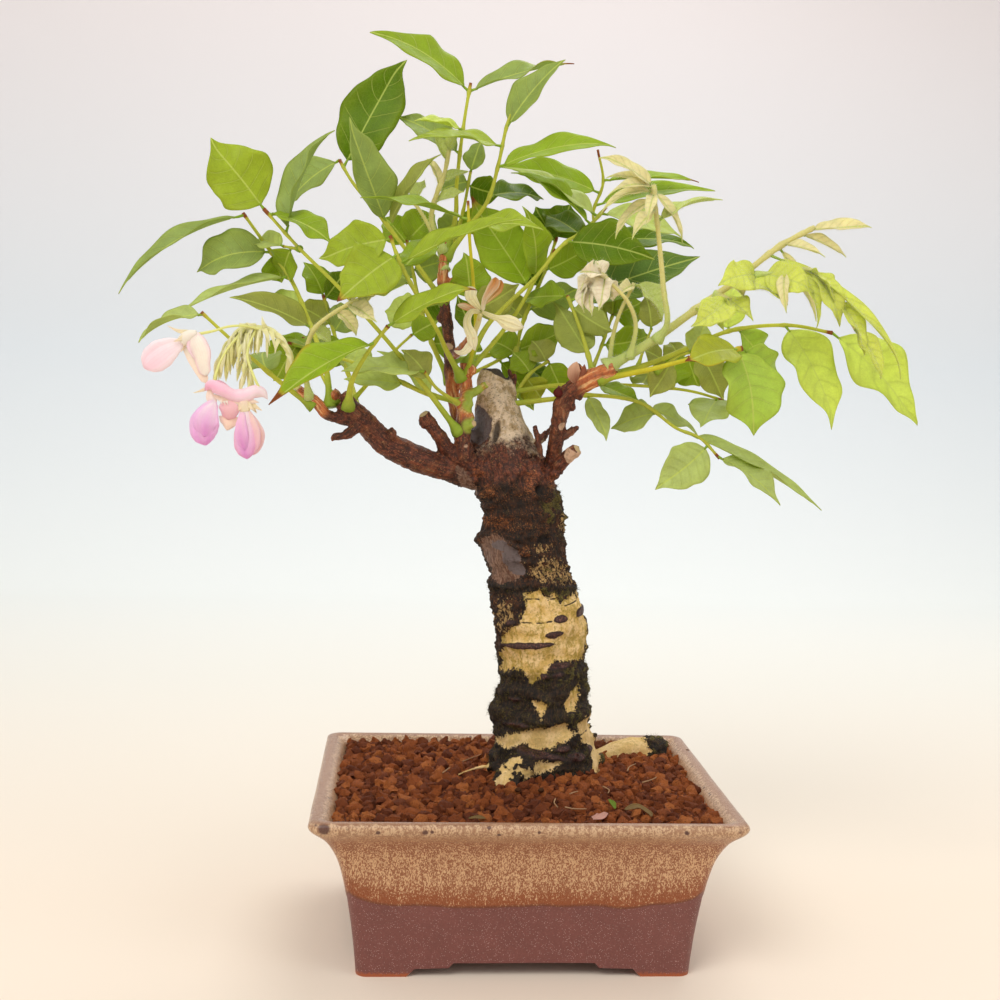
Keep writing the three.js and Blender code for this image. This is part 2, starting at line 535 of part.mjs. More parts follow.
    route: [[-13, 21, 241], [15, 24, 246], [51, 26, 247], [78, 24, 245], [93, 20, 241]],
    blades: [[0.97, 80, 4, 229, 21, 40, 0.05, 10], [0.76, 74, 34, 264, 17, 35, 0.05, 5],
      [0.45, 54, 14, 239, 12, 50, 0.05, 10]] },
  { name: "leaf_behind_stub", colour: "green", radii: [1.3, 0.9, 0.7],
    route: [[-33, 20, 246], [-15, 32, 255], [-8, 40, 259], [-4, 44, 261]],
    blades: [[0.88, 17, 34, 244, 15, 50, 0.06, 12], [0.74, 7, 44, 233, 16, 35, 0.08, 12],
      [1, 16, 56, 262, 12, 60, 0.05, 15]] },
  { name: "young_shoot_right", colour: "pale", radii: [2.4, 1.8, 1.4, 1],
    route: [[34, -6, 254], [53, -7, 266], [70, -10, 279], [88, -14, 293], [107, -18, 309], [121, -20, 317]],
    blades: [[0.98, 145, -24, 318, 9, 40, 0.04, 35], [0.94, 138, -14, 305, 8, 50, 0.06, 35],
      [0.86, 124, -28, 304, 7, 50, 0.06, 35], [0.64, 119, -30, 295, 15, 50, 0.08, 20],
      [0.84, 127, -10, 277, 9, 30, 0.06, 30], [0.79, 164, -24, 254, 13, 40, 0.14, 35],
      [0.43, 82, -24, 272, 13, 50, 0.05, 20], [0.61, 91, -22, 286, 7, 30, 0.04, 30]] },
  { name: "young_leaf_upright", colour: "cream", on: "young_shoot_right", radii: [1.4, 1.1, 0.8],
    route: [[56, -8, 267], [59, -14, 274], [56, -20, 288], [52, -24, 313], [49, -24, 332]],
    blades: [[0.99, 25, -30, 343, 9, 30, 0.12, 30], [1, 29, -22, 335, 6, 40, 0.14, 30],
      [0.98, 28, -34, 326, 6, 40, 0.16, 30], [0.96, 26, -28, 319, 7, 40, 0.18, 30],
      [0.91, 33, -24, 309, 7, 40, 0.14, 30], [0.94, 45, -38, 315, 7, 20, 0.1, 30],
      [0.85, 39, -34, 308, 7, 40, 0.1, 30], [0.96, 64, -18, 309, 8, 40, 0.12, 30],
      [0.78, 82, -14, 328, 9, 60, 0.1, 25]] },
  { name: "young_leaf_crumpled", colour: "cream", on: "young_shoot_right", radii: [1.1, 0.9, 0.7],
    route: [[44, -8, 259], [45, -16, 273], [41, -20, 282], [33, -22, 290], [28, -22, 294]],
    blades: [[0.98, 18, -30, 294, 8, 30, 0.1, 35], [0.97, 21, -20, 285, 8, 10, 0.1, 35],
      [0.94, 27, -32, 278, 9, 20, 0.1, 35], [0.92, 35, -14, 283, 7, 30, 0.1, 35],
      [0.97, 26, -18, 300, 6, 30, 0.1, 35]] },
  { name: "young_leaf_folded", colour: "cream", on: "young_shoot_right", radii: [1.1, 0.9, 0.7],
    route: [[35, -6, 252], [37, -4, 269], [40, -2, 279], [46, -2, 292]],
    blades: [[0.97, 38, -8, 286, 6, 30, 0.1, 30], [0.99, 58, -10, 275, 11, 40, 0.12, 35]] },
  { name: "young_shoot_left", colour: "pale", radii: [1.2, 1, 0.7],
    route: [[-96, -8, 238], [-97, -20, 254], [-93, -26, 267], [-80, -28, 277], [-74, -28, 280]],
    blades: [[0.91, -67, -36, 270, 8, 30, 0.08, 30], [0.81, -75, -24, 265, 7, 30, 0.08, 30],
      [0.98, -67, -26, 282, 6, 50, 0.05, 25], [0.6, -86, -22, 262, 7, 30, 0.08, 25],
      [0.93, -80, -24, 286, 5, 30, 0.05, 25]] },
  { name: "young_shoot_top", colour: "pale", radii: [1.3, 1.1, 0.8],
    route: [[-38, 27, 306], [-44, 20, 319], [-42, 13, 330], [-39, 11, 338], [-37, 10, 349]],
    blades: [[0.98, -34, 9, 358, 5, 30, 0.05, 30], [0.9, -44, 10, 356, 5, 30, 0.05, 30],
      [0.72, -28, 11, 340, 6, 40, 0.08, 30], [0.66, -47, 15, 346, 5, 40, 0.08, 30],
      [0.5, -30, 9, 331, 6, 40, 0.08, 30]] },
  { name: "young_leaf_bronze", colour: "pale", radii: [1.2, 0.9, 0.7],
    route: [[-37, 26, 297], [-43, 34, 314], [-53, 38, 330], [-65, 38, 338]],
    blades: [[0.97, -73, 32, 341, 7, 40, 0.06, 30], [0.89, -67, 44, 328, 7, 40, 0.06, 30],
      [0.7, -47, 46, 341, 7, 40, 0.06, 30]] },
];

const stalkHalos = {};
LEAVES.forEach(({ name, colour, on, radii, route, blades }, index) => {
  const curve = new THREE.CatmullRomCurve3(route.map(vec), false, "centripetal");
  const parts = [solid(stem(route, radii, 4, STALK_STEP))];
  stalkHalos[name] = solid(stem(route, radii, 4, STALK_STEP, GAP));
  blades.forEach(([t, x, y, z, width, roll, arch, fold], k) => {
    const seed = index * 20 + k + 1;
    parts.push(solid(leaflet(curve.getPointAt(t), vec([x, y, z]), width, roll, arch, fold, seed)));
  });
  const leaf = join(parts).subtract(woodHalo);
  place(name, on ? leaf.subtract(stalkHalos[on]) : leaf, colour, 0.5);
});

// Flower pieces are soft pouches: a stem with a wide, flattened middle
function pouches(list, extra = 0) {
  return join(list.map(([route, radii, flat]) => solid(stem(route, radii, 6, 5, extra, flat))));
}

// Raceme: the arched axis, the stalks of the open flowers and the slender buds that hang from it
const RACEME_AXIS = [[-101, -8, 242], [-104, -19, 249], [-103, -27, 256], [-106, -28, 261], [-111, -27, 266],
  [-118, -27, 267], [-124, -27, 266], [-129, -27, 259], [-131, -27, 253]];
const FLOWER_STALKS = [
  [[-114, -28, 266], [-125, -34, 267], [-133, -36, 265], [-138, -37, 262]],
  [[-122, -28, 266], [-129, -35, 256], [-132, -38, 248], [-133, -39, 242]],
  [[-117, -27, 267], [-120, -34, 256], [-117, -38, 247], [-114, -39, 241]],
];
const BUD_COUNT = 11;
const BUD_LENGTH = 11;
const BUD_SWELL = [0.5, 1.2, 0.9, 0.4];
const FLOWER_STALK_RADII = [0.7, 0.6, 0.6];

function raceme() {
  const random = draws(31);
  const axis = new THREE.CatmullRomCurve3(RACEME_AXIS.map(vec), false, "centripetal");
  const parts = [solid(stem(RACEME_AXIS, [1.4, 1.2, 1, 0.8], 5, 10))];
  FLOWER_STALKS.forEach((route) => parts.push(solid(stem(route, FLOWER_STALK_RADII, 4, 10))));
  for (let k = 0; k < BUD_COUNT; k += 1) {
    const start = axis.getPointAt(0.46 + 0.54 * (k / (BUD_COUNT - 1)));
    const side = k % 2 ? 1 : -1;
    const fall = BUD_LENGTH * (0.8 + 0.4 * random());
    const bend = new THREE.Vector3(side * 1.5 * random() - 1, side * 3, -0.4 * fall).add(start);
    const tip = new THREE.Vector3(side * 2 * random() - 1.5, side * (3.4 + random()), -fall).add(start);
    parts.push(solid(stem([start, bend, tip].map((p) => p.toArray()), BUD_SWELL, 4, 5)));
  }
  return join(parts);
}
place("flower_raceme", raceme().subtract(woodHalo), "bud", 0.6);
const stalkHalo = join(FLOWER_STALKS.map((route) => solid(stem(route, FLOWER_STALK_RADII, 4, 10, GAP))));

// Upper flower: calyx with one long sepal, the folded-back standard and the closed wings
const UPPER_FLOWER = [
  [[[-138, -37, 264], [-137, -38, 258], [-135, -38, 251], [-134, -38, 246]], [2.2, 4.4, 3.2, 1.6], 0.5],
  [[[-137, -37, 263], [-143, -37, 262], [-147, -37, 259]], [1.5, 2.4, 1.8], 0.8],
  [[[-145, -37, 261], [-150, -37, 258], [-156, -37, 254], [-161, -37, 250]], [1.8, 4.8, 5.8, 3], 0.55],
  [[[-142, -37, 263], [-149, -37, 266], [-154, -37, 267]], [1.2, 0.7, 0.5], 1],
];
place("flower_upper", pouches(UPPER_FLOWER).subtract(stalkHalo), "pink", 0.45);

// Lower flowers: two calyces side by side, their standards in one wavy band, with the keels below
const LOWER_BANNER = [
  [[[-138, -39, 240], [-131, -40, 241], [-124, -40, 237.5], [-118, -40, 239], [-111, -40, 239]],
    [1.4, 3.4, 2.4, 3.2, 1.4], 0.6],
  [[[-126, -39, 238], [-126, -39, 231], [-126, -38, 225]], [3.4, 4.2, 1], 0.5],
  [[[-136, -39, 241], [-141, -39, 240], [-145, -39, 239]], [1, 0.7, 0.5], 1],
];
const LEFT_KEEL = [
  [[[-131.5, -40, 239], [-133, -40, 234.5], [-136, -40, 229], [-138, -40, 224], [-137, -40, 218.5]],
    [1.6, 2.6, 5.4, 5.4, 2.4], 0.6],
];
const RIGHT_KEEL = [
  [[[-117.5, -40, 238.5], [-117, -40, 234], [-119, -40, 228], [-119, -40, 221], [-118, -40, 213.5]],
    [1.4, 2.2, 4.2, 4.9, 2.6], 0.65],
  [[[-116, -40, 233], [-113, -40, 226], [-113, -40, 219]], [1.4, 2.6, 1.4], 0.7],
];
const upperHalo = pouches(UPPER_FLOWER, GAP);
place("flower_lower_banner", pouches(LOWER_BANNER).subtract(stalkHalo).subtract(upperHalo), "pink", 0.45);
const bannerHalo = pouches(LOWER_BANNER, GAP).add(stalkHalo);
place("flower_lower_keel_left", pouches(LEFT_KEEL).subtract(bannerHalo), "mauve", 0.45);
place("flower_lower_keel_right", pouches(RIGHT_KEEL).subtract(bannerHalo), "mauve", 0.45);

// Withered raceme in the middle of the crown: five dried blossoms on a short stalk
const WITHERED = [
  [[[-26.5, -10, 265.5], [-25, -17, 270], [-24, -22, 275]], [1.6, 1.3, 1.2], 1],
  [[[-24, -22, 275], [-17, -25, 273], [-11, -27, 270], [-5, -28, 268]], [1, 1.2, 3.1, 1.4], 0.6],
  [[[-24, -22, 275], [-21, -24, 282], [-18, -25, 288], [-15, -24, 292]], [1, 1.4, 2.6, 1.4], 0.6],
  [[[-24, -22, 275], [-27, -24, 280], [-29, -24, 285]], [1, 2.4, 1.6], 0.6],
  [[[-24, -22, 275], [-29, -24, 276], [-34, -24, 278]], [1, 1.5, 0.8], 0.6],
  [[[-24, -22, 275], [-30, -26, 271], [-29, -27, 266], [-28, -27, 259], [-30, -27, 255]],
    [1, 1.4, 1.6, 3, 1], 0.6],
];
place("withered_flowers", pouches(WITHERED).subtract(woodHalo), "withered", 0.7);

// The whole stands on its feet over the origin, centred under its own bounding box
const box = new THREE.Box3().setFromObject(group);
group.position.set(-(box.min.x + box.max.x) / 2, -(box.min.y + box.max.y) / 2, -box.min.z);

export default group;
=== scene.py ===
import math

import bmesh
import bpy
import numpy as np
from mathutils import Matrix, Vector, noise


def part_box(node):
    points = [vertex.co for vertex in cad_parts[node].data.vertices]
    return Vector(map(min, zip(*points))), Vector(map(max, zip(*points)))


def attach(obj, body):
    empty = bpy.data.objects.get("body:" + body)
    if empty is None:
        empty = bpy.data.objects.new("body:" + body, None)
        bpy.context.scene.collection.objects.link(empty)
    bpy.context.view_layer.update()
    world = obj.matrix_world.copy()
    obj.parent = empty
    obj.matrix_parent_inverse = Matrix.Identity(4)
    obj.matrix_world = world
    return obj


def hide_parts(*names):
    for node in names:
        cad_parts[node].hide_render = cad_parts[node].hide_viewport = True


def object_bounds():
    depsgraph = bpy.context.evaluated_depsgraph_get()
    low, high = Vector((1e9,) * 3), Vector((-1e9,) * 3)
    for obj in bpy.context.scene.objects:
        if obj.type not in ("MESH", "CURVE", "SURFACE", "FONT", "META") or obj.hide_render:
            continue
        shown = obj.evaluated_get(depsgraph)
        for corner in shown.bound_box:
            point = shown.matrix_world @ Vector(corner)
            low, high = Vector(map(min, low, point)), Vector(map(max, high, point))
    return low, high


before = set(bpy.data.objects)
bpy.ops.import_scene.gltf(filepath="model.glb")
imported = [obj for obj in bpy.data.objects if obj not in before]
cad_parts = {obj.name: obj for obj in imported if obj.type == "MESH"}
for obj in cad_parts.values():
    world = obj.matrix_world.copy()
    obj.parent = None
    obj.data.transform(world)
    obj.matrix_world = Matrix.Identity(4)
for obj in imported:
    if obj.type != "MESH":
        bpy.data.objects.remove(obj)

cad_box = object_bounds()

# Pot: one slip-cast stoneware body, rectangular with a flared lip, corner feet and a stepped skirt.
# It is dipped to below half its height in a running beige and rust glaze over bare purple-brown clay,
# and the glaze ends in a wavy, slightly thick edge.
MM = 0.001
pot_low, pot_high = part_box("pot")
POT_MIDDLE = Vector(((pot_low.x + pot_high.x) / 2, (pot_low.y + pot_high.y) / 2, 0))
POT_BASE = (70.5, 60)
DEPTH_SHARE = 0.923
CORNER_RADIUS = 5
FOOT_LENGTH = 21.5
FOOT_STEP = 3.4
SKIRT_LENGTH = 41
FLOOR_UNDER = 6
FLOOR_TOP = 12
UNDER_HALF = (53, 43)
HOLE_RADIUS = 7
HOLE_X = 32
POT_PROFILE = [
    (0, 0), (10, 0.9), (20, 2), (30, 3.4), (40, 5), (52, 8.2), (60, 12.6), (65.4, 18.2), (67.2, 19.2),
    (68.8, 18.9), (69.8, 17.3), (69.9, 15.5), (69.1, 13.3), (65.5, 9.9), (58, 6.2), (46, 1.8),
    (24, -2.8), (FLOOR_TOP, -6),
]
GLAZE_LINE = 31
GLAZE_THICK = 0.35
WALL_STEPS, OUTER_STEPS = 118, 62
SIDE_STEP = 1.6
CORNER_STEPS = 7


def paint(red, green, blue):
    """A colour as it looks on a screen, from 0 to 255, as the linear values that a shader takes."""
    return tuple((c / 255 / 12.92) if c < 11 else ((c / 255 + 0.055) / 1.055) ** 2.4
                 for c in (red, green, blue))


class Dye:
    """One value of a finish: sums on it add Math nodes, and node() adds a node of any other kind."""

    def __init__(self, tree, socket=None):
        self.tree = tree
        self.socket = socket

    def node(self, kind, sockets=None, out=0, stops=None, **settings):
        made = self.tree.nodes.new("ShaderNode" + kind)
        for name, value in settings.items():
            setattr(made, name, value)
        if stops:
            ramp = made.color_ramp.elements
            while len(ramp) > 1:
                ramp.remove(ramp[-1])
            ramp[0].position = stops[0][0]
            ramp[0].color = (*stops[0][1], 1)
            for position, colour in stops[1:]:
                ramp.new(position).color = (*colour, 1)
        for name, value in (sockets or {}).items():
            if isinstance(value, Dye):
                self.tree.links.new(value.socket, made.inputs[name])
            else:
                made.inputs[name].default_value = value
        return Dye(self.tree, made.outputs[out])

    def sum(self, operation, *values):
        return self.node("Math", dict(enumerate(values)), operation=operation)

    def __add__(self, other):
        return self.sum("ADD", self, other)

    def __sub__(self, other):
        return self.sum("SUBTRACT", self, other)

    def __rsub__(self, other):
        return self.sum("SUBTRACT", other, self)

    def __mul__(self, other):
        return self.sum("MULTIPLY", self, other)

    __radd__ = __add__
    __rmul__ = __mul__

    def step(self, low, high):
        """0 below low and 1 above high, or the other way round, with a soft change between them."""
        return self.node("MapRange", {0: self, 1: low, 2: high}, interpolation_type="SMOOTHSTEP")

    def torn(self, share, other, low, high):
        """The same step, with its edge torn by a share of another pattern."""
        return (self + share * (other - 0.5)).step(low, high)

    def mix(self, a, b):
        """Colour a where this is 0 and colour b where it is 1."""
        full = [(*c, 1) if isinstance(c, tuple) else c for c in (a, b)]
        return self.node("Mix", {0: self, 6: full[0], 7: full[1]}, out=2, data_type="RGBA")

    def shade(self, colour, low, high):
        """The colour made darker to low times itself where this is 0, and to high times where it is 1."""
        grey = self.mix((low,) * 3, (high,) * 3)
        full = (*colour, 1) if isinstance(colour, tuple) else colour
        return self.node("Mix", {0: 1.0, 6: full, 7: grey}, out=2, data_type="RGBA", blend_type="MULTIPLY")

    def cloud(self, size, detail=3, rough=0.55, stretch=(1, 1, 1), seed=0, place=None):
        """Soft noise with features of a size in mm, over the piece's coordinates or a place in mm."""
        scale = 1 / size if place else 1 / (size * MM)
        place = place or self.node("TexCoord", out="Object")
        spread = self.node("Mapping", {0: place, 1: (seed, seed, seed), 3: stretch})
        return self.node("TexNoise", {"Vector": spread, "Scale": scale, "Detail": detail, "Roughness": rough})

    def cells(self, size, feature="F1", stretch=(1, 1, 1)):
        """The distance to the middle, or to the edge, of cells of that size in mm."""
        place = self.node("TexCoord", out="Object")
        spread = self.node("Mapping", {0: place, 3: stretch})
        return self.node("TexVoronoi", {"Vector": spread, "Scale": 1 / (size * MM)}, feature=feature)

    def mark(self, name, out=2):
        """A mark that was kept at every point of the mesh: its number, or with out=0 its colour."""
        return self.node("Attribute", out=out, attribute_name=name)

    def relief(self, height, depth, strength=1.0):
        """A bump of that depth in mm, where height goes from 0 to 1."""
        return self.node("Bump", {"Strength": strength, "Distance": depth * MM, "Height": height})


def finish(name, **fixed):
    """A new material, a first value to build on, and a call that joins values to its main shader."""
    made = bpy.data.materials.new(name)
    made.use_nodes = True
    shader = made.node_tree.nodes["Principled BSDF"]
    for socket, value in fixed.items():
        shader.inputs[socket.replace("_", " ").title().replace("Ior", "IOR")].default_value = value

    def join(socket, value):
        made.node_tree.links.new(value.socket, shader.inputs[socket])

    return made, Dye(made.node_tree), join


def in_metres(points):
    """Points in mm from the pot's middle, as metres in the shared frame."""
    return np.asarray(points) * MM + np.array(POT_MIDDLE)


def put_in(name, data):
    """A new object in the scene."""
    made = bpy.data.objects.new(name, data)
    bpy.context.scene.collection.objects.link(made)
    return made


def curve_through(route, per_leg=24):
    """Many points on the smooth centripetal curve through a route, and the length up to each."""
    p = np.asarray(route, float)
    p = np.vstack([2 * p[0] - p[1], p, 2 * p[-1] - p[-2]])
    found = []
    for k in range(1, len(p) - 2):
        a, b, c, d = p[k - 1:k + 3]
        d0, d1, d2 = (max(np.linalg.norm(v), 1e-6) ** 0.5 for v in (b - a, c - b, d - c))
        t1 = ((b - a) / d0 - (c - a) / (d0 + d1) + (c - b) / d1) * d1
        t2 = ((c - b) / d1 - (d - b) / (d1 + d2) + (d - c) / d2) * d1
        w = np.linspace(0, 1, per_leg, endpoint=False)[:, None]
        square, cubic = -3 * b + 3 * c - 2 * t1 - t2, 2 * b - 2 * c + t1 + t2
        found.append(b + t1 * w + square * w ** 2 + cubic * w ** 3)
    dense = np.vstack([*found, p[-2]])
    length = np.concatenate([[0], np.cumsum(np.linalg.norm(np.diff(dense, axis=0), axis=1))])
    return dense, length


def points_along(route, shares):
    """The points at these shares of a route's length."""
    dense, length = curve_through(route)
    at = np.asarray(shares) * length[-1]
    return np.stack([np.interp(at, length, dense[:, i]) for i in range(dense.shape[1])], axis=1)


def unit(v):
    return v / np.maximum(np.linalg.norm(v, axis=-1, keepdims=True), 1e-9)


class Skin:
    """The points and faces of one piece, in mm from the pot's middle, with its marks at every point."""

    def __init__(self):
        self.points = []
        self.faces = []
        self.marks = {}
        self.count = 0

    def add(self, points, faces, **marks):
        points = np.asarray(points, float).reshape(-1, 3)
        self.faces += [[i + self.count for i in face] for face in faces]
        self.points.append(points)
        for name, value in marks.items():
            value = np.asarray(value, float)
            if value.ndim < 2 and value.shape != (len(points),):
                value = np.broadcast_to(value, (len(points), *value.shape))
            self.marks.setdefault(name, []).append(value)
        self.count += len(points)

    def piece(self, name, material):
        mesh = bpy.data.meshes.new(name)
        mesh.from_pydata(in_metres(np.vstack(self.points)), [], self.faces)
        for mark, values in self.marks.items():
            stay(mesh, mark, np.concatenate(values))
        return settle(name, mesh, material)


def stay(mesh, mark, values):
    """Keeps a number or a colour at every point of a mesh."""
    if values.ndim == 2:
        kept = mesh.attributes.new(mark, "FLOAT_COLOR", "POINT")
        kept.data.foreach_set("color", np.hstack([values, np.ones((len(values), 1))]).ravel())
    else:
        kept = mesh.attributes.new(mark, "FLOAT", "POINT")
        kept.data.foreach_set("value", values)


def settle(name, mesh, material, sharp=None):
    """The finished object of a mesh, smooth or with its edges sharp past an angle in degrees."""
    mesh.validate()
    mesh.materials.clear()
    mesh.materials.append(material)
    mesh.shade_smooth()
    if sharp:
        mesh.set_sharp_from_angle(angle=math.radians(sharp))
    return put_in(name, mesh)


def wall_faces(rows, columns, closed=True):
    """Quads between the rings of a wall, each ring with that many points."""
    i, j = np.meshgrid(np.arange(columns if closed else columns - 1), np.arange(rows - 1))
    a = j * columns + i
    b = j * columns + (i + 1) % columns
    return np.stack([a, b, b + columns, a + columns], axis=-1).reshape(-1, 4).tolist()


def finished_mesh(made):
    """The mesh of an object with its modifiers worked in. The object itself goes."""
    seen = made.evaluated_get(bpy.context.evaluated_depsgraph_get())
    mesh = bpy.data.meshes.new_from_object(seen)
    bpy.data.objects.remove(made)
    return mesh


def coordinates(mesh):
    found = np.empty(len(mesh.vertices) * 3)
    mesh.vertices.foreach_get("co", found)
    return (found.reshape(-1, 3) - np.array(POT_MIDDLE)) / MM


def put_back(mesh, points):
    mesh.vertices.foreach_set("co", in_metres(points).ravel())
    mesh.update()


def pot_ring(z, out):
    """A rounded rectangle at a height, with its straight sides in short steps."""
    half_x, half_y = POT_BASE[0] + out, POT_BASE[1] + out * DEPTH_SHARE
    sides = (round(2 * POT_BASE[1] / SIDE_STEP), round(2 * POT_BASE[0] / SIDE_STEP))
    corners = []
    for sx, sy, start in ((1, 1, 0), (-1, 1, 1), (-1, -1, 2), (1, -1, 3)):
        turn = (start + np.linspace(0, 1, CORNER_STEPS + 1)) * math.pi / 2
        corners.append(np.stack([sx * (half_x - CORNER_RADIUS) + CORNER_RADIUS * np.cos(turn),
                                 sy * (half_y - CORNER_RADIUS) + CORNER_RADIUS * np.sin(turn)], axis=1))
    ring = []
    for k, corner in enumerate(corners):
        onward = corners[(k + 1) % 4][0]
        count = sides[(k + 1) % 2]
        share = np.linspace(0, 1, count + 1)[1:-1, None]
        ring += [corner, corner[-1] * (1 - share) + onward * share]
    ring = np.vstack(ring)
    return np.column_stack([ring, np.full(len(ring), z)])


def glaze_line(points):
    """The height at which the glaze ends: lower in the middle of each side, with small waves."""
    corner = np.minimum(np.abs(points[:, 0]) / POT_BASE[0], np.abs(points[:, 1]) / POT_BASE[1])
    waves = [0.25 * math.sin(0.11 * x + 0.7) + 0.2 * math.sin(0.27 * x + 0.19 * y)
             + 0.8 * noise.noise(Vector((x, y, 0)) * 0.09) for x, y, z in points]
    return GLAZE_LINE + 4 * np.clip(corner, 0, 1.1) ** 8 + np.array(waves)


def foot_cut(half, length):
    """The space between two feet of a side, with a second, higher step in the middle."""
    foot, skirt = half - FOOT_LENGTH, half - SKIRT_LENGTH
    line = [(foot, -1), (foot, 0), (foot - FOOT_STEP, FOOT_STEP), (skirt + 2, FOOT_STEP + 0.4),
            (skirt, FLOOR_UNDER)]
    line += [(-x, z) for x, z in reversed(line)]
    return [(x, side * length, z) for side in (-1, 1) for x, z in line], len(line)


def prism(points, count):
    """A cutter: two like outlines of count points, joined into one closed body."""
    faces = [tuple(range(count))[::-1], tuple(range(count, 2 * count))]
    faces += [(k, (k + 1) % count, (k + 1) % count + count, k + count) for k in range(count)]
    mesh = bpy.data.meshes.new("cutter")
    mesh.from_pydata(in_metres(points).tolist(), [], faces)
    work = bmesh.new()
    work.from_mesh(mesh)
    bmesh.ops.recalc_face_normals(work, faces=work.faces)
    work.to_mesh(mesh)
    work.free()
    return put_in("cutter", mesh)


pot_steps = points_along([(z, out) for z, out in POT_PROFILE], np.linspace(0, 1, WALL_STEPS))
pot_rings = np.stack([pot_ring(z, out) for z, out in pot_steps])
ring_size = pot_rings.shape[1]
rings = pot_rings.reshape(-1, 3)
outward = unit(rings * (1, 1, 0))
outer = np.repeat(np.arange(WALL_STEPS) < OUTER_STEPS, ring_size)
uneven = np.array([noise.noise(Vector(p) * 0.03) for p in rings.tolist()])
glazed = np.clip((rings[:, 2] - glaze_line(rings)) / 0.7 + 0.5, 0, 1)
lift = 0.25 * (uneven - 0.4) + np.where(outer, GLAZE_THICK * (glazed - 1), 0)
rings = rings + outward * lift[:, None]
pot_faces = wall_faces(WALL_STEPS, ring_size)
pot_faces.append(range(ring_size)[::-1])
pot_faces.append(range(ring_size * (WALL_STEPS - 1), ring_size * WALL_STEPS))
pot_mesh = bpy.data.meshes.new("pot_body")
pot_mesh.from_pydata(in_metres(rings), [], pot_faces)
pot_body = put_in("pot_body", pot_mesh)
front_cut, count = foot_cut(POT_BASE[0], 1.5 * POT_BASE[1])
side_cut, count = foot_cut(POT_BASE[1], 1.5 * POT_BASE[0])
cutters = [prism(front_cut, count), prism([(-y, x, z) for x, y, z in side_cut], count)]
under = [(x, y, z) for z in (-FLOOR_UNDER, FLOOR_UNDER) for x, y in (
    (-UNDER_HALF[0], -UNDER_HALF[1]), (UNDER_HALF[0], -UNDER_HALF[1]),
    (UNDER_HALF[0], UNDER_HALF[1]), (-UNDER_HALF[0], UNDER_HALF[1]))]
cutters.append(prism(under, 4))
for side in (-1, 1):
    round_hole = [(side * HOLE_X + HOLE_RADIUS * math.cos(t * math.pi / 20),
                   HOLE_RADIUS * math.sin(t * math.pi / 20)) for t in range(40)]
    cutters.append(prism([(x, y, z) for z in (0, 2 * FLOOR_TOP) for x, y in round_hole], 40))
for cutter in cutters:
    cut = pot_body.modifiers.new("cut", "BOOLEAN")
    cut.operation = "DIFFERENCE"
    cut.solver = "MANIFOLD"
    cut.object = cutter
pot_mesh = finished_mesh(pot_body)
for cutter in cutters:
    bpy.data.objects.remove(cutter)
pot_points = coordinates(pot_mesh)
stay(pot_mesh, "above_line", (pot_points[:, 2] - glaze_line(pot_points)) / 10)
wall_z, wall_out = zip(*[(z, out) for z, out in POT_PROFILE[:9]])
reach_out = np.max(np.abs(pot_points[:, :2]) - np.array(POT_BASE), axis=1)
stay(pot_mesh, "inside", (reach_out < np.interp(pot_points[:, 2], wall_z, wall_out) - 2.5).astype(float))

POT_CREAM, POT_SPECK, POT_DOT = paint(210, 176, 140), paint(144, 99, 70), paint(82, 48, 42)
POT_BEIGE, POT_BROWN, POT_GOLD = paint(212, 170, 128), paint(148, 92, 60), paint(230, 196, 150)
POT_RUST, POT_EDGE = paint(140, 74, 38), paint(84, 46, 38)
POT_CLAY, POT_PAINTED_GLINT, POT_FOOT = paint(118, 68, 62), paint(204, 172, 164), paint(164, 84, 46)
GLAZE_SPOTS = [
    ((-82.9, -77, 67.8), 3), ((-86, -76, 68.5), 1.2), ((-61.5, -77.4, 66.4), 1.2), ((-42.7, -77.4, 66.6),
    1.5), ((-40, -77.4, 66.9), 1), ((-13, -77.4, 65.3), 1.3), ((3, -77.4, 67), 0.9), ((63, -77.4, 66.8),
    1.1),
]
glaze, dye, join = finish("pot_glaze", specular_ior_level=0.5)
height = dye.node("SeparateXYZ", {0: dye.node("TexCoord", out="Object")}, out=2) * (1 / MM)
above = dye.mark("above_line") * 10
streak = dye.cloud(0.5, 3, 0.65, stretch=(1, 1, 0.4))
run = dye.cloud(2.2, 3, 0.6, stretch=(1, 1, 0.12), seed=4)
grain = dye.cloud(0.5, 2, 0.5)
blot = dye.cloud(11, 3, 0.5)
rusty = (above + 5 * (blot - 0.5) + 5 * (run - 0.5)).step(13, 2)
brown = rusty.mix(POT_BROWN, POT_RUST)
brown = (grain + 0.5 * (run - 0.5)).shade(brown, 0.82, 1.2)
dense = above.torn(4, blot, -2, 13) * 0.14 - height.torn(4, run, 52, 61) * 0.05
streaked = (streak + dense + 0.2 * (grain - 0.5) + 0.3 * (run - 0.5)).step(0.62, 0.68)
wall = (streaked * 0.9).mix(brown, POT_BEIGE)
wall = ((grain + 0.5 * dense).step(0.68, 0.74) * 0.6).mix(wall, POT_GOLD)
wall = (above.torn(1.2, streak, 1.6, 0.1) * 0.6).mix(wall, POT_EDGE)
fleck = dye.cloud(0.7, 3, 0.6, stretch=(1, 1, 0.6), seed=7)
cream = ((fleck + 0.3 * (grain - 0.5) + 0.5 * (run - 0.5)).step(0.43, 0.55) * 0.75).mix(POT_CREAM, POT_SPECK)
cream = (run.step(0.5, 0.62) * 0.15).mix(cream, POT_SPECK)
inside = dye.mark("inside")
lip = (height + 3.4 * (run - 0.5) + 2 * (blot - 0.5)).step(59, 66)
wall = dye.sum("MAXIMUM", lip * 0.9, inside).mix(wall, cream)
edge_dots = dye.cells(4.4).step(0.24, 0.14) * dye.cloud(9, 1, seed=3).step(0.5, 0.58)
wall = (edge_dots * height.step(64.5, 66) * 0.85).mix(wall, POT_DOT)
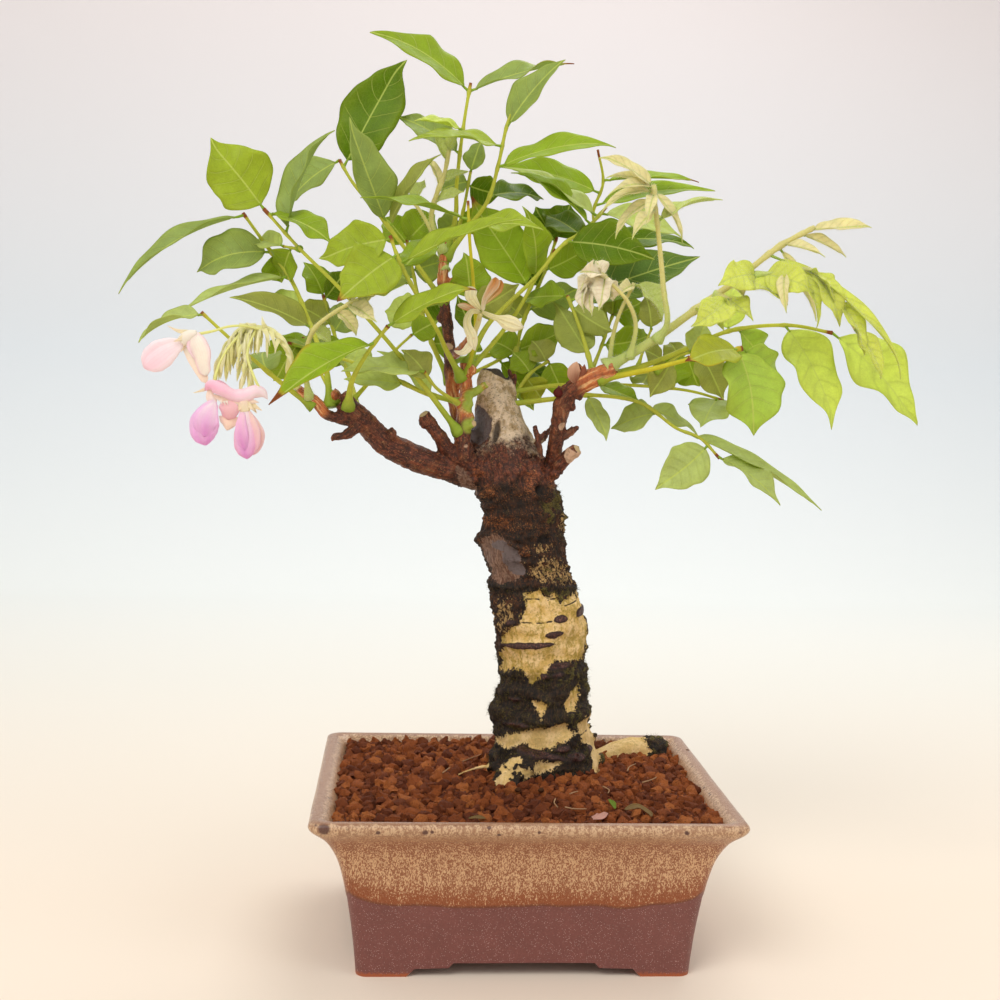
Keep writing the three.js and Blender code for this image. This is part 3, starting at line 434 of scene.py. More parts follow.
for spot, wide in GLAZE_SPOTS:
    ends = {0: dye.node("TexCoord", out="Object"), 1: tuple(in_metres(spot))}
    away = dye.node("VectorMath", ends, out=1, operation="DISTANCE")
    wall = (away.torn(0.4 * MM, grain, wide * MM, 0.55 * wide * MM) * 0.9).mix(wall, POT_DOT)
worn_edge = height.torn(2.2, run, 69.0, 69.6) * 0.7
wall = worn_edge.mix(wall, POT_SPECK)
wall = (inside * height.torn(5, run, 69.5, 63) * 0.5).mix(wall, POT_SPECK)
clay = (dye.cloud(0.7, 3, 0.7) + 0.5 * (dye.cloud(12) - 0.5)).shade(POT_CLAY, 0.62, 1.38)
# Painted glints: tiny light dots over the bare clay that stand in for the sparkle of light on it. The clay is
# also a little glossier there.
painted_glints = dye.cells(0.7).step(0.27, 0.12) * dye.cloud(2.5, 2, seed=6).step(0.36, 0.52)
clay = (painted_glints * 0.8).mix(clay, POT_PAINTED_GLINT)
clay = height.torn(3, grain, 2.2, 0.7).mix(clay, POT_FOOT)
over = above.step(-0.12, 0.12)
join("Base Color", over.mix(clay, wall))
join("Roughness", over * -0.14 + 0.44 - 0.12 * painted_glints + 0.14 * (grain - 0.5))
pit = dye.cloud(0.5, 2, 0.6) * (1 - over) * 0.6 + streak * over * 0.6 + grain * over * 0.3
join("Normal", dye.relief(pit, 0.2))
pot_piece = settle("pot_glazed", pot_mesh, glaze, sharp=38)
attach(pot_piece, "root")
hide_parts("pot")

# Drain screens: squares of injection-moulded plastic mesh laid loose over the two drain holes, under
# the soil. Their shape is right as it stands, and only the plastic is given here.
plastic, dye, join = finish("screen_plastic")
SCREEN_GREEN = paint(58, 74, 60)
join("Base Color", dye.cloud(1.5).shade(SCREEN_GREEN, 0.8, 1.15))
join("Roughness", dye.cloud(0.6) * 0.2 + 0.45)
join("Normal", dye.relief(dye.cloud(0.4), 0.03))
for node in ("drain_mesh_left", "drain_mesh_right"):
    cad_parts[node].data.materials.clear()
    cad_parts[node].data.materials.append(plastic)

# Wood: trunk, surface roots, branches and winter buds, grown as one piece from the taproot to the cut top.
# Old corky bark has come away in two bands and shows pale, worn bark; above them the trunk is dark and
# mossy, then red-brown, and it ends in a smooth sealed stub. Last year's shoots are orange-brown.
TRUNK = [
    (46, 14, 18, 10), (60, 15, 18, 23), (70, 15, 18, 24.4), (79, 13.5, 18, 23.2), (88, 13, 18, 22.4),
    (98, 12, 18, 21.6), (109, 13, 18, 19.6), (118, 11.5, 18, 19.8), (128, 10.5, 18, 21.2),
    (138, 9.5, 18, 21.8), (148, 8.5, 18, 20.6), (157, 6, 18, 18.8), (165, 3, 18, 18.9),
    (174, 1.5, 18, 19.6), (185, 1, 18, 18), (196, -2, 18, 19.4), (208, -6, 19, 19.5), (216, -8, 19.5, 16.4),
    (226, -10, 20, 12.6), (240, -13, 21, 9), (248, -15, 21.5, 6.8), (253, -15.5, 22, 4.4),
]
TRUNK_DEPTH = 0.94
ROOTS = [
    ([(10, 6, 74), (2, -6, 74), (-5, -12, 71), (-3, -22, 60), (-2, -34, 44)], (9, 7, 6, 5, 2.5)),
    ([(-4, -6, 74), (-16, -4, 74), (-28, -3, 69.5), (-38, -2, 60)], (2.2, 1.5, 1.3, 1)),
    ([(20, 20, 58), (38, 36, 64), (56, 46, 69.5), (66, 49, 69.5), (76, 50, 68)], (9, 7, 6.4, 6.6, 5.6)),
]
BRANCHES = [
    ([(-4, 18, 202), (-21, 14, 203), (-38, 8, 208), (-56, 2, 215), (-63, 0, 219), (-71, -3, 227),
      (-82, -6, 237)], (10, 7, 5, 6.3, 5.6, 5, 4.2)),
    ([(-76, -4, 229), (-87, -5, 230), (-93, -7, 236), (-101, -8, 242)], (3.6, 2.6, 2.5, 2)),
    ([(-18, 14, 207), (-33, 7, 214), (-38, 3, 221), (-46, -2, 232)], (5.5, 3.6, 3.2, 2.7)),
    ([(-18, 14, 206), (-26, 8, 212), (-28, 6, 222), (-28, 6, 231), (-27, 7, 240), (-28, 9, 255)],
     (6, 4.4, 3.8, 3.4, 2.8, 2.4)),
    ([(-16, 20, 214), (-27, 16, 224), (-33, 20, 243), (-35, 24, 268), (-38, 26, 289), (-37, 28, 310)],
     (4.5, 3.4, 2.8, 2.7, 2.6, 2.3)),
    ([(-35, 23, 258), (-31, 6, 260), (-26, -11, 266)], (2.4, 2, 1.9)),
    ([(2, 18, 200), (12, 13, 208), (14, 8, 220), (15, 4, 231), (17, 1, 241), (27, -4, 249),
      (38, -8, 254)], (8, 4.4, 3.4, 3.6, 4.2, 4.6, 3.6)),
    ([(8, 16, 203), (13, 10, 206), (18, 4, 213), (23, 0, 218)], (5, 3.4, 3, 3)),
    ([(17, 2, 238), (22, 0, 246), (24, -1, 252)], (3.4, 3, 1.8)),
    ([(2, 20, 214), (8, 18, 221), (15, 20, 229)], (3, 1.7, 1.2)),
    ([(5, 14, 206), (7, 6, 212), (4, 5, 228)], (2.6, 1.5, 1.2)),
    ([(-10, 20, 236), (-5, 20, 240), (-7, 24, 253)], (1.8, 1.3, 1.1)),
    ([(-72, -4, 228), (-80, -9, 222), (-86, -10, 221)], (3, 2.4, 1.4)),
]
BUDS = [
    (14.1, 3, 243, 2.1), (22.6, 0, 252.5, 2.4), (16.2, 1.6, 232, 1.8), (21, 6, 226, 1.5),
    (23, -2, 242, 1.9), (20.5, 0.5, 237, 1.7), (-25, 5, 231, 1.8), (-31, 5, 237, 1.7), (-25, 6, 252, 2.1),
    (-38, 5, 218, 2.2), (-46, -1, 228, 1.9), (-60, -4, 223, 2.3), (-72, -7, 229, 2.2),
    (-84.6, -7.4, 239.6, 2), (-80, -8, 238, 2.2), (-30, 19, 246, 1.9), (-39, 26, 276, 1.8),
    (-34, 25, 292, 1.7), (9, 15, 210, 2.6),
]
CUT_STALKS = [
    ([(-28, 6, 240), (-22, 4, 243), (-17, 3.6, 246.6)], (2.6, 2, 1.4)),
    ([(-28, 5, 226), (-25.6, 3, 227), (-22.6, 1.6, 228.6)], (2.2, 2, 1.4)),
    ([(-28, 6, 234), (-25.6, 4, 236), (-25, 3.4, 240)], (1.8, 1.6, 1)),
]
FINE_TWIGS = [
    ([(4.6, 6, 219), (7, 5, 222), (9, 4.6, 226)], (1.1, 0.9, 0.8)),
    ([(-7, 22, 244), (-4, 21, 247), (-4.4, 21, 251)], (1.1, 0.9, 0.8)),
    ([(15, 6.6, 221.4), (19, 5.4, 223.8), (24, 6, 228)], (1.5, 1.4, 1.1)),
    ([(11.5, 19, 225), (15, 19, 228.6), (18.4, 18, 231.4), (18, 17, 235)], (1.3, 1.1, 0.9, 0.8)),
]
WOOD_VOXEL = 0.76
TRUNK_FOOT, TRUNK_RINGS, TRUNK_SIDES = 58, 150, 64


def tube(skin, route, radii, sides, step, **marks):
    """A closed stem along a route, with its radii spread evenly over its length."""
    dense, length = curve_through(route)
    steps = max(3, round(length[-1] / step))
    share = np.linspace(0, 1, steps + 1)
    centre = points_along(route, share)
    radius = np.interp(share, np.linspace(0, 1, len(radii)), radii)
    course = unit(np.gradient(centre, axis=0))
    least = np.eye(3)[2 - int(np.argmin(np.abs(course[0])[::-1]))]
    normal = unit(np.cross(course[0], unit(np.cross(course[0], least))))
    turn = np.linspace(0, 2 * math.pi, sides, endpoint=False)
    rings = []
    for k in range(steps + 1):
        normal = unit(normal - course[k] * np.dot(normal, course[k]))
        other = np.cross(course[k], normal)
        rings.append(centre[k] + radius[k] * (np.outer(np.cos(turn), normal) + np.outer(np.sin(turn), other)))
    rings += [centre[:1], centre[-1:]]
    faces = wall_faces(steps + 1, sides)
    first, last = (steps + 1) * sides, steps * sides
    faces += [(first, (k + 1) % sides, k) for k in range(sides)]
    faces += [(first + 1, last + k, last + (k + 1) % sides) for k in range(sides)]
    spread = {name: np.concatenate([np.repeat(v, sides, axis=0), v[:1], v[-1:]])
              if np.shape(v)[:1] == (steps + 1,) else v for name, v in marks.items()}
    skin.add(np.vstack(rings), faces, **spread)


def trunk_relief(turn, z):
    """Knobs and grooves of the trunk, as a share of its radius."""
    knobs = 0.035 * np.sin(3 * turn + z * 0.11) + 0.03 * np.sin(5 * turn - z * 0.23 + 1.3)
    rings = 0.02 * np.sin(z * 0.62 + 2 * np.sin(turn))
    wound = 0.1 * np.exp(-(((z - 176) / 7) ** 2)) * np.maximum(0, -np.cos(turn + 0.35)) ** 3
    foot = 0.16 * np.exp(-(((z - 64) / 12) ** 2)) * np.maximum(0, np.sin(2.5 * turn + 0.6))
    return 1 + knobs + rings + wound + foot


def band(value, low, high, soft):
    """1 between low and high, falling to 0 over that soft distance on either side."""
    return np.clip((value - low) / soft + 0.5, 0, 1) * np.clip((high - value) / soft + 0.5, 0, 1)


def noise_at(points, size, seed, octaves=3):
    """Fractal noise of about -1 to 1 at each point, with features of that size in mm."""
    shift = Vector((seed * 13.1, seed * 7.7, seed * 3.3))
    return np.array([noise.fractal(Vector(p) + shift, 0.8, 2.1, octaves)
                     for p in (points / np.asarray(size)).tolist()])


wood = Skin()
trunk_z, trunk_x, trunk_y, trunk_r = np.array(TRUNK).T
ring_z = np.linspace(TRUNK_FOOT, TRUNK[-1][0], TRUNK_RINGS)
turn = np.linspace(0, 2 * math.pi, TRUNK_SIDES, endpoint=False)
heights, turns = np.meshgrid(ring_z, turn, indexing="ij")
reach = np.interp(heights, trunk_z, trunk_r) * trunk_relief(turns, heights)
skin_points = np.stack([np.interp(heights, trunk_z, trunk_x) + reach * np.cos(turns),
                        np.interp(heights, trunk_z, trunk_y) + TRUNK_DEPTH * reach * np.sin(turns),
                        heights], axis=-1)
trunk_faces = wall_faces(TRUNK_RINGS, TRUNK_SIDES)
trunk_faces += [range(TRUNK_SIDES)[::-1], range((TRUNK_RINGS - 1) * TRUNK_SIDES, TRUNK_RINGS * TRUNK_SIDES)]
wood.add(skin_points, trunk_faces)
for rows, sides, step in ((ROOTS, 16, 2), (BRANCHES, 16, 1.5), (CUT_STALKS + FINE_TWIGS, 12, 1)):
    for route, radii in rows:
        tube(wood, route, radii, sides, step)
for x, y, z, r in BUDS:
    tube(wood, [(x, y, z - 1.5 * r), (x, y - 0.2 * r, z), (x, y, z + 1.6 * r)], (0.3 * r, r, r, 0.1), 10, 0.6)
bark, dye, join = finish("bark", specular_ior_level=0.4)
whole_wood = wood.piece("wood", bark)
voxels = whole_wood.modifiers.new("grown together", "REMESH")
voxels.mode = "VOXEL"
voxels.voxel_size = WOOD_VOXEL * MM
even = whole_wood.modifiers.new("even", "SMOOTH")
even.factor = 0.5
even.iterations = 3
wood_mesh = finished_mesh(whole_wood)

# Where each mark lies on the trunk as seen from the front, in x and z: outlines of the worn places, then
# ovals with their middle, half width, half height and tilt in degrees, then lines.
PALE_SHAPES = [
    [(1, 152), (8, 154), (11, 150), (15, 152), (17, 148), (25, 153), (32, 143), (33, 131), (30, 121),
        (21, 121), (16, 122), (12, 117), (6, 111), (2, 116), (-2, 118), (-7, 114), (-8, 124), (-8, 131),
        (-6, 135), (-1, 138), (1, 145)],
    [(27, 110), (23, 107), (21, 102), (22, 98), (26, 99), (28, 105)],
    [(5, 104), (13, 103), (10, 96)],
    [(5, 91), (14, 92), (20, 94), (26, 89), (21, 85), (16, 83), (9, 81), (4, 84), (-4, 81), (-11, 82),
        (-5, 87)],
    [(27, 93), (33, 96), (37, 85), (41, 77), (41, 69), (34, 69), (35, 77), (32, 83), (29, 84)],
    [(-2, 78), (7, 77.6), (19, 76), (14, 72), (2, 72)],
]
PORES = [
    (18, 141, 3.2, 1.7, 3), (15, 134, 4.4, 1.5, 9), (3, 128.6, 12.4, 1.5, 6), (-5, 139, 2.2, 1.3, 20),
    (28, 143.5, 2, 2.8, -40), (18, 119.6, 4.6, 1.5, 4), (11, 115, 2, 1.2, 0), (17, 115.5, 2.6, 1.1, 0),
    (20, 82, 3.2, 1.6, 5), (9, 79.6, 12, 1.5, -10), (33, 80, 1.5, 2.2, 0), (26, 78, 4, 2, -10),
    (0, 92, 5, 1.6, 5), (-2, 103, 3, 1.2, 0),
]
SPLITS = [
    [(-2, 139), (2, 139.4), (5, 138.9)], [(7, 139.2), (10, 139.9), (14, 140.3)], [(2, 150), (5, 150.4),
    (8, 150)], [(13, 150.2), (18, 150.6)], [(20, 147), (26, 149)], [(27, 87), (33, 88.4)], [(25, 92),
    (26, 84), (28, 79)],
]
FLAKY_PATCHES = [
    (14, 162, 13, 8, -20), (-7, 141, 5, 10, 0), (19, 184, 3, 7, 0), (5, 98, 6, 4, 0), (8, 173, 6, 3, 0),
]
WOUND_PATCHES = [(-12, 170, 7.5, 8, 20), (-6, 165, 5.5, 7.5, 20), (-9, 160, 5, 4.4, 0), (-25, 199, 3, 11, 28)]
GREY_PATCHES = [
    (-5.6, 168.5, 4.2, 5, 0), (-3, 163.4, 4, 3, -20), (-10, 173.5, 4, 2.6, 0), (-21, 227, 5.6, 8.4, 0),
]
RUST_PATCHES = [
    (-20.5, 206, 3.6, 3, 0), (2.5, 203, 4, 6.6, 0), (-16, 198, 3, 4, 40), (14, 203, 4, 4, 0),
    (-12, 184, 8, 4, 0), (1, 170, 3, 2, -30),
]
HOLLOWS = [(10, 177, 3, 2.2, 0), (-13, 225, 1.6, 5, -12), (7, 199, 2, 2.6, 0)]
FOLDS = [
    ([(-20, 174), (-17.5, 178), (-12, 179), (-7, 178), (-1, 177), (3, 179)], 1.2, 1.5),
    ([(-8, 175.5), (0, 172.5), (6, 170), (2, 167), (-2, 167)], 1, 1.2),
    ([(-2, 198), (-5, 204), (0, 211), (7, 209), (9, 202), (6, 197)], 1.6, 1.6),
    ([(-22, 194), (-16, 198), (-13, 203)], 1.5, 1.2),
    ([(-18, 190), (-10, 195), (-8, 203)], 1.4, 1.1),
    ([(-16, 185), (-4, 188), (8, 186), (16, 189)], 1.8, 0.8),
    ([(-14, 156), (-6, 154), (6, 157), (18, 155)], 1.6, 0.9),
    ([(-11, 97), (0, 93), (14, 94), (30, 97), (35, 96)], 3.4, 1.3),
    ([(-9, 105), (4, 108), (12, 104)], 2.4, 0.8),
]
ORANGE_SHOOTS = [
    ((-28, 7, 244), 15), ((34, -5, 252), 13), ((-97, -7, 240), 13), ((-29, -4, 263), 10), ((-37.5, 24, 302),
    11),
]
PALE_SCARS = [
    ((16.5, 1, 227.5), 2.2), ((19, 0, 240), 1.6), ((6, 9, 209), 2), ((-27, 4, 218), 1.6), ((-35, 22, 262),
    2.4), ((21.4, 1.6, 215), 4.2),
]


def ovals(across, up, rows):
    """0.5 on the edge of each oval of a list, 1 from 3 mm inside it, 0 from 3 mm outside."""
    found = np.zeros(len(across))
    for x, z, wide, high, tilt in rows:
        lean = math.radians(tilt)
        u = (across - x) * math.cos(lean) + (up - z) * math.sin(lean)
        v = (up - z) * math.cos(lean) - (across - x) * math.sin(lean)
        inside = (1 - np.hypot(u / wide, v / high)) * min(wide, high)
        found = np.maximum(found, np.clip(inside / min(6, wide, high) + 0.5, 0, 1))
    return found


def from_line(across, up, line):
    """The distance in mm from a line drawn on the front."""
    least = np.full(len(across), 1e6)
    for (x0, z0), (x1, z1) in zip(line, line[1:]):
        along = ((across - x0) * (x1 - x0) + (up - z0) * (z1 - z0)) / ((x1 - x0) ** 2 + (z1 - z0) ** 2)
        along = np.clip(along, 0, 1)
        least = np.minimum(least, np.hypot(across - x0 - along * (x1 - x0), up - z0 - along * (z1 - z0)))
    return least


def shapes(across, up, outlines):
    """The same as ovals, for outlines drawn as points."""
    found = np.zeros(len(across))
    for outline in outlines:
        closed = outline + outline[:1]
        crossings = np.zeros(len(across))
        for (x0, z0), (x1, z1) in zip(closed, closed[1:]):
            beside = (z0 > up) != (z1 > up)
            crossings += beside * (across < x0 + (x1 - x0) * (up - z0) / (z1 - z0 + 1e-9))
        side = np.where(crossings % 2 == 1, 1, -1)
        found = np.maximum(found, np.clip(side * from_line(across, up, closed) / 6 + 0.5, 0, 1))
    return found


def near(points, places, soft):
    """1 within the balls of a list, falling to 0 outside over that soft distance."""
    return np.max([np.clip((r - np.linalg.norm(points - np.array(c), axis=1)) / soft + 0.5, 0, 1)
                   for c, r in places], axis=0)


p = coordinates(wood_mesh)
normals = np.empty(len(p) * 3)
wood_mesh.vertices.foreach_get("normal", normals)
normals = normals.reshape(-1, 3)
x, y, z = p.T
axis_x, axis_y = np.interp(z, trunk_z, trunk_x), np.interp(z, trunk_z, trunk_y)
from_axis = np.hypot(x - axis_x, (y - axis_y) / TRUNK_DEPTH) / np.interp(z, trunk_z, trunk_r)
trunk_part = np.clip((1.45 - from_axis) / 0.2, 0, 1) * (z < 256)
broad, middle, fine = noise_at(p, 16, 1), noise_at(p, 6, 2), noise_at(p, 2.6, 3)
crumbs = noise_at(p, 1.5, 7, 2)
front = np.clip((axis_y + 1 - y) / 8 + 0.5, 0, 1)
drift = z + 7 * broad + 4 * middle
astray = 1.1 + 5 * (1 - front)
across = x + astray * (0.8 * middle + 0.5 * fine)
up = z + astray * (0.8 * noise_at(p, 5, 12) + 0.4 * fine)
pale = shapes(across, up, PALE_SHAPES) * trunk_part
pores = ovals(x + 0.5 * fine, z + 0.5 * middle + 3 * broad * (1 - front), PORES) * trunk_part
pores = np.clip(2.4 * pores - 0.7, 0, 1)
splits = np.max([np.clip(1.2 - from_line(x, z + 0.4 * middle, line) / 0.5, 0, 1) for line in SPLITS], axis=0)
splits = splits * front * (pale > 0.5)
flaky = ovals(across, up, FLAKY_PATCHES) * trunk_part
wound = ovals(x + 0.6 * middle, z + 0.9 * fine, WOUND_PATCHES) * front * (from_axis < 1.6)
grey = ovals(x + 0.9 * fine, z + 0.9 * middle, GREY_PATCHES) * front * (from_axis < 1.6) * (x < 4)
wound = np.maximum(wound, grey)
healed = np.clip(3 * wound - 1, 0, 1)
rust = ovals(across, up, RUST_PATCHES) * front * (from_axis < 1.8)
hollow = ovals(x, z, HOLLOWS) * front * trunk_part
root_part = (1 - trunk_part) * (z < 90)
pale = np.maximum(pale, root_part * np.clip((70 - x + 6 * middle) / 6, 0, 1) * (x > 20))
pale = np.maximum(pale, root_part * np.clip((middle + 0.15) / 0.3, 0, 1) * (x <= 20))
pale = np.maximum(pale, root_part * (x < -14))
bare = np.clip((pale + 0.12 * middle + 0.12 * fine - 0.5) * 4 + 0.5, 0, 1)
black = np.maximum(band(drift, 50, 120, 5) * trunk_part, root_part) * (1 - bare)
black = np.maximum(black, 0.7 * band(up, 151, 156, 2) * trunk_part * (1 - bare))
stub = np.clip((z - 211 + 6 * middle + 2 * fine) / 18, 0, 1) * trunk_part * (1 - healed)
red = np.clip((z - 198 + 6 * middle) / 8, 0, 1) * (1 - stub) * (1 - root_part)
branch_part = 1 - np.maximum(trunk_part, root_part)
orange = branch_part * np.clip(near(p, ORANGE_SHOOTS, 4) + 0.3 * middle, 0, 1)
green = near(p, [(c, 3.2) for route, radii in CUT_STALKS for c in route[1:]], 1.5)
scars = near(p, PALE_SCARS, 1.2) * (1 - green)
moss = np.clip((middle + 0.5 * fine + 0.02) / 0.16, 0, 1) * (1 - bare) * band(z, 66, 200, 14) * (1 - healed)
moss = moss * np.clip(0.2 + 1.0 * noise_at(p, 24, 5) + 0.5 * (x - axis_x) / 20, 0, 1)
brown = np.clip(1 - bare - black - stub - red, 0, 1)
cracks = np.clip(1 - np.abs(noise_at(p, (3.2, 3.2, 8), 6)) / 0.12, 0, 1)
folded = np.abs(noise_at(p, (9, 9, 4.5), 8))
relief = (black * (1.0 * middle + 0.9 * fine + 0.6 * crumbs + 0.5)
          + brown * (1.5 * folded - 0.5 + 0.6 * fine - 0.6 * cracks + 0.4 * crumbs)
          + bare * (0.3 * middle - 0.25 * cracks - 0.8) + stub * (0.25 * middle + 0.06 * fine)
          + red * (1.4 * folded - 0.4 + 0.5 * fine - 0.4 * cracks + 0.3 * crumbs) + 0.5 * moss * crumbs
          + flaky * (0.5 * crumbs + 0.4 * fine))
relief = np.where(branch_part > 0.5, 0.5 * middle + 0.3 * fine + 0.2 * crumbs * (1 - orange), relief)
relief = relief * (1 - 0.75 * healed) - 0.6 * healed
relief += 1.1 * pores - 0.4 * splits - 2.2 * np.clip(3 * hollow - 1, 0, 1)
for line, wide, high in FOLDS:
    ridge = np.exp(-((from_line(x + 0.5 * middle, z + 0.5 * fine, line) / wide) ** 2))
    crease = np.exp(-((from_line(x, z - 1.7 * wide, line) / (0.7 * wide)) ** 2))
    relief += front * trunk_part * (high * ridge - 0.5 * high * crease)
ends = [b[0][-1] for b in BRANCHES[:8] + CUT_STALKS[:2]] + [(-15.5, 22, 253), (76, 50, 68)]
cut = np.max([np.clip((2.6 - np.linalg.norm(p - np.array(e), axis=1)) / 1.2, 0, 1) for e in ends], axis=0)
put_back(wood_mesh, p + normals * (relief * (1 - 0.7 * cut))[:, None])
cut = cut * (z < 252) + np.clip((z - 250.5 + 0.4 * (x - axis_x) + middle) / 1.5, 0, 1) * trunk_part

grain = np.stack([x - axis_x, y - axis_y, z], axis=1)
closest = np.full(len(p), 1e6)
for number, (route, radii) in enumerate(BRANCHES + ROOTS + CUT_STALKS + FINE_TWIGS):
    dense, length = curve_through(route, 8)
    course = unit(np.gradient(dense, axis=0))
    sideways = unit(np.cross(course, (0.1, 1, 0.2)))
    others = np.flatnonzero(trunk_part < 0.5)
    apart = p[others][:, None, :] - dense[None]
    nearest = np.argmin(np.sum(apart ** 2, axis=2), axis=1)
    offset = apart[np.arange(len(others)), nearest]
    far = np.linalg.norm(offset, axis=1)
    nearer = far < closest[others]
    chosen, place = others[nearer], nearest[nearer]
    closest[chosen] = far[nearer]
    ahead = np.sum(offset[nearer] * course[place], axis=1)
    grain[chosen, 0] = np.sum(offset[nearer] * sideways[place], axis=1) + 40 * number + 60
    grain[chosen, 1] = np.sum(offset[nearer] * np.cross(course[place], sideways[place]), axis=1)
    grain[chosen, 2] = length[place] + ahead
stay(wood_mesh, "grain", grain)
for mark, values in (("pale", pale), ("black", black), ("moss", moss), ("stub", stub), ("red", red),
                     ("orange", orange), ("wound", wound), ("grey", grey), ("cut", cut), ("pores", pores),
                     ("splits", splits), ("flaky", flaky), ("rust", rust), ("green", green), ("scars", scars),
                     ("hollow", np.maximum(np.clip(3 * hollow - 1, 0, 1), cracks * 0.5 * (1 - bare)))):
    stay(wood_mesh, mark, values)

PALE_BARK, PALE_WARM, PALE_STAIN = paint(216, 178, 102), paint(238, 204, 146), paint(160, 134, 52)
PALE_DOT = paint(78, 66, 34)
BLACK_BARK, BLACK_BROWN, BLACK_MOSS = paint(26, 19, 14), paint(66, 46, 30), paint(112, 96, 44)
BROWN_DEEP, BROWN_BARK, BROWN_RUST = paint(30, 20, 14), paint(72, 42, 22), paint(142, 84, 42)
RED_DEEP, RED_BARK, RED_LIGHT = paint(60, 28, 17), paint(122, 62, 38), paint(192, 124, 86)
STUB_BARK, STUB_BROWN, STUB_DOT = paint(226, 202, 174), paint(176, 148, 108), paint(96, 72, 50)
ORANGE_BARK, ORANGE_DEEP, ORANGE_PALE = paint(206, 120, 62), paint(172, 88, 46), paint(234, 184, 126)
MOSS_DARK, MOSS_LIGHT = paint(62, 54, 24), paint(118, 106, 44)
WOUND_PINK, WOUND_BROWN, WOUND_GREY = paint(140, 108, 88), paint(92, 58, 40), paint(104, 90, 88)
PORE_DARK, PORE_LIGHT = paint(50, 27, 23), paint(116, 72, 60)
CUT_WOOD, CAP_GREY = paint(212, 182, 134), paint(74, 64, 54)
TAN_FLAKE, SCAR_PALE, BUD_GREEN_FRESH = paint(184, 148, 94), paint(206, 168, 138), paint(160, 176, 62)
fibres = dye.mark("grain", out=1)
speck = dye.cloud(1.1, 4, 0.65)
fleck = dye.cloud(0.45, 2, 0.6)
blotch = dye.cloud(5, 3, 0.6, seed=7)
fibre = dye.cloud(0.9, 4, 0.7, stretch=(1, 1, 0.2), place=fibres)
ground = fibre.torn(0.6, speck, 0.42, 0.7).mix(BROWN_DEEP, BROWN_BARK)
ground = (fleck.torn(0.7, blotch, 0.6, 0.72) * 0.75).mix(ground, BROWN_RUST)
redder = fibre.torn(0.6, speck, 0.4, 0.66).mix(RED_DEEP, RED_BARK)
redder = (fleck.torn(0.6, speck, 0.62, 0.74) * 0.7).mix(redder, RED_LIGHT)
ground = dye.mark("red").mix(ground, redder)
rusty = speck.step(0.35, 0.65).mix(BROWN_RUST, ORANGE_BARK)
rust = (dye.mark("rust") + 1.2 * (speck - 0.5) + 0.8 * (fibre - 0.5)).step(0.45, 1.0)
ground = (rust * fleck.torn(0.5, speck, 0.4, 0.66) * 0.45).mix(ground, rusty)
stubby = blotch.torn(0.6, speck, 0.42, 0.68).mix(STUB_BARK, STUB_BROWN)
stubby = (dye.cells(1.5, stretch=(0.7, 0.7, 1.4)).step(0.24, 0.12) * 0.75).mix(stubby, STUB_DOT)
ground = (dye.mark("stub") + 0.9 * (speck - 0.5) + 0.5 * (fleck - 0.5)).step(0.2, 0.85).mix(ground, stubby)
stripe = dye.cloud(1.1, 3, 0.6, stretch=(1, 1, 0.08), place=fibres)
shoot = stripe.torn(0.3, speck, 0.35, 0.55).mix(ORANGE_DEEP, ORANGE_BARK)
shoot = (stripe.torn(0.3, fibre, 0.53, 0.62) * 0.9).mix(shoot, ORANGE_PALE)
ground = dye.mark("orange").mix(ground, shoot)
ground = dye.mark("scars").torn(0.5, speck, 0.35, 0.7).mix(ground, SCAR_PALE)
shreds = dye.cloud(1.5, 3, 0.65, stretch=(1, 1, 0.3), place=fibres, seed=3)
flaking = dye.mark("flaky") * 0.3 + shreds * 0.8 + 0.5 * (speck - 0.5) + 0.3 * (fleck - 0.5)
flaking = flaking.step(0.68, 0.74)
ground = (fleck.torn(0.6, shreds, 0.68, 0.74) * 0.5).mix(ground, TAN_FLAKE)
flaking = flaking * dye.mark("flaky").step(0.1, 0.5)
ground = (flaking * 0.85).mix(ground, TAN_FLAKE)
blacker = fibre.torn(0.7, speck, 0.42, 0.7).mix(BLACK_BARK, BLACK_BROWN)
blacker = (fleck.torn(0.6, blotch, 0.6, 0.7) * 0.6).mix(blacker, BLACK_MOSS)
ground = dye.mark("black").torn(0.6, speck, 0.3, 0.6).mix(ground, blacker)
worn = blotch.torn(0.3, speck, 0.38, 0.6).mix(PALE_WARM, PALE_BARK)
near_soil = dye.node("SeparateXYZ", {0: dye.node("TexCoord", out="Object")}, out=2).step(0.105, 0.09)
stained = dye.cloud(9, 3, 0.6, seed=2).torn(0.5, speck, 0.44, 0.66) * (0.8 - 0.4 * near_soil)
worn = stained.mix(worn, PALE_STAIN)
worn = (fleck.torn(0.4, speck, 0.6, 0.7) * 0.55).mix(worn, PALE_DOT)
streaks = dye.cloud(3, 4, 0.65, stretch=(1, 1, 0.22), place=fibres, seed=9)
worn = (streaks.torn(0.4, speck, 0.52, 0.64) * (0.75 - 0.3 * near_soil)).mix(worn, PALE_STAIN)
worn = (near_soil * 0.35).mix(worn, PALE_WARM)
worn = (fibre.step(0.6, 0.7) * 0.5).mix(worn, PALE_STAIN)
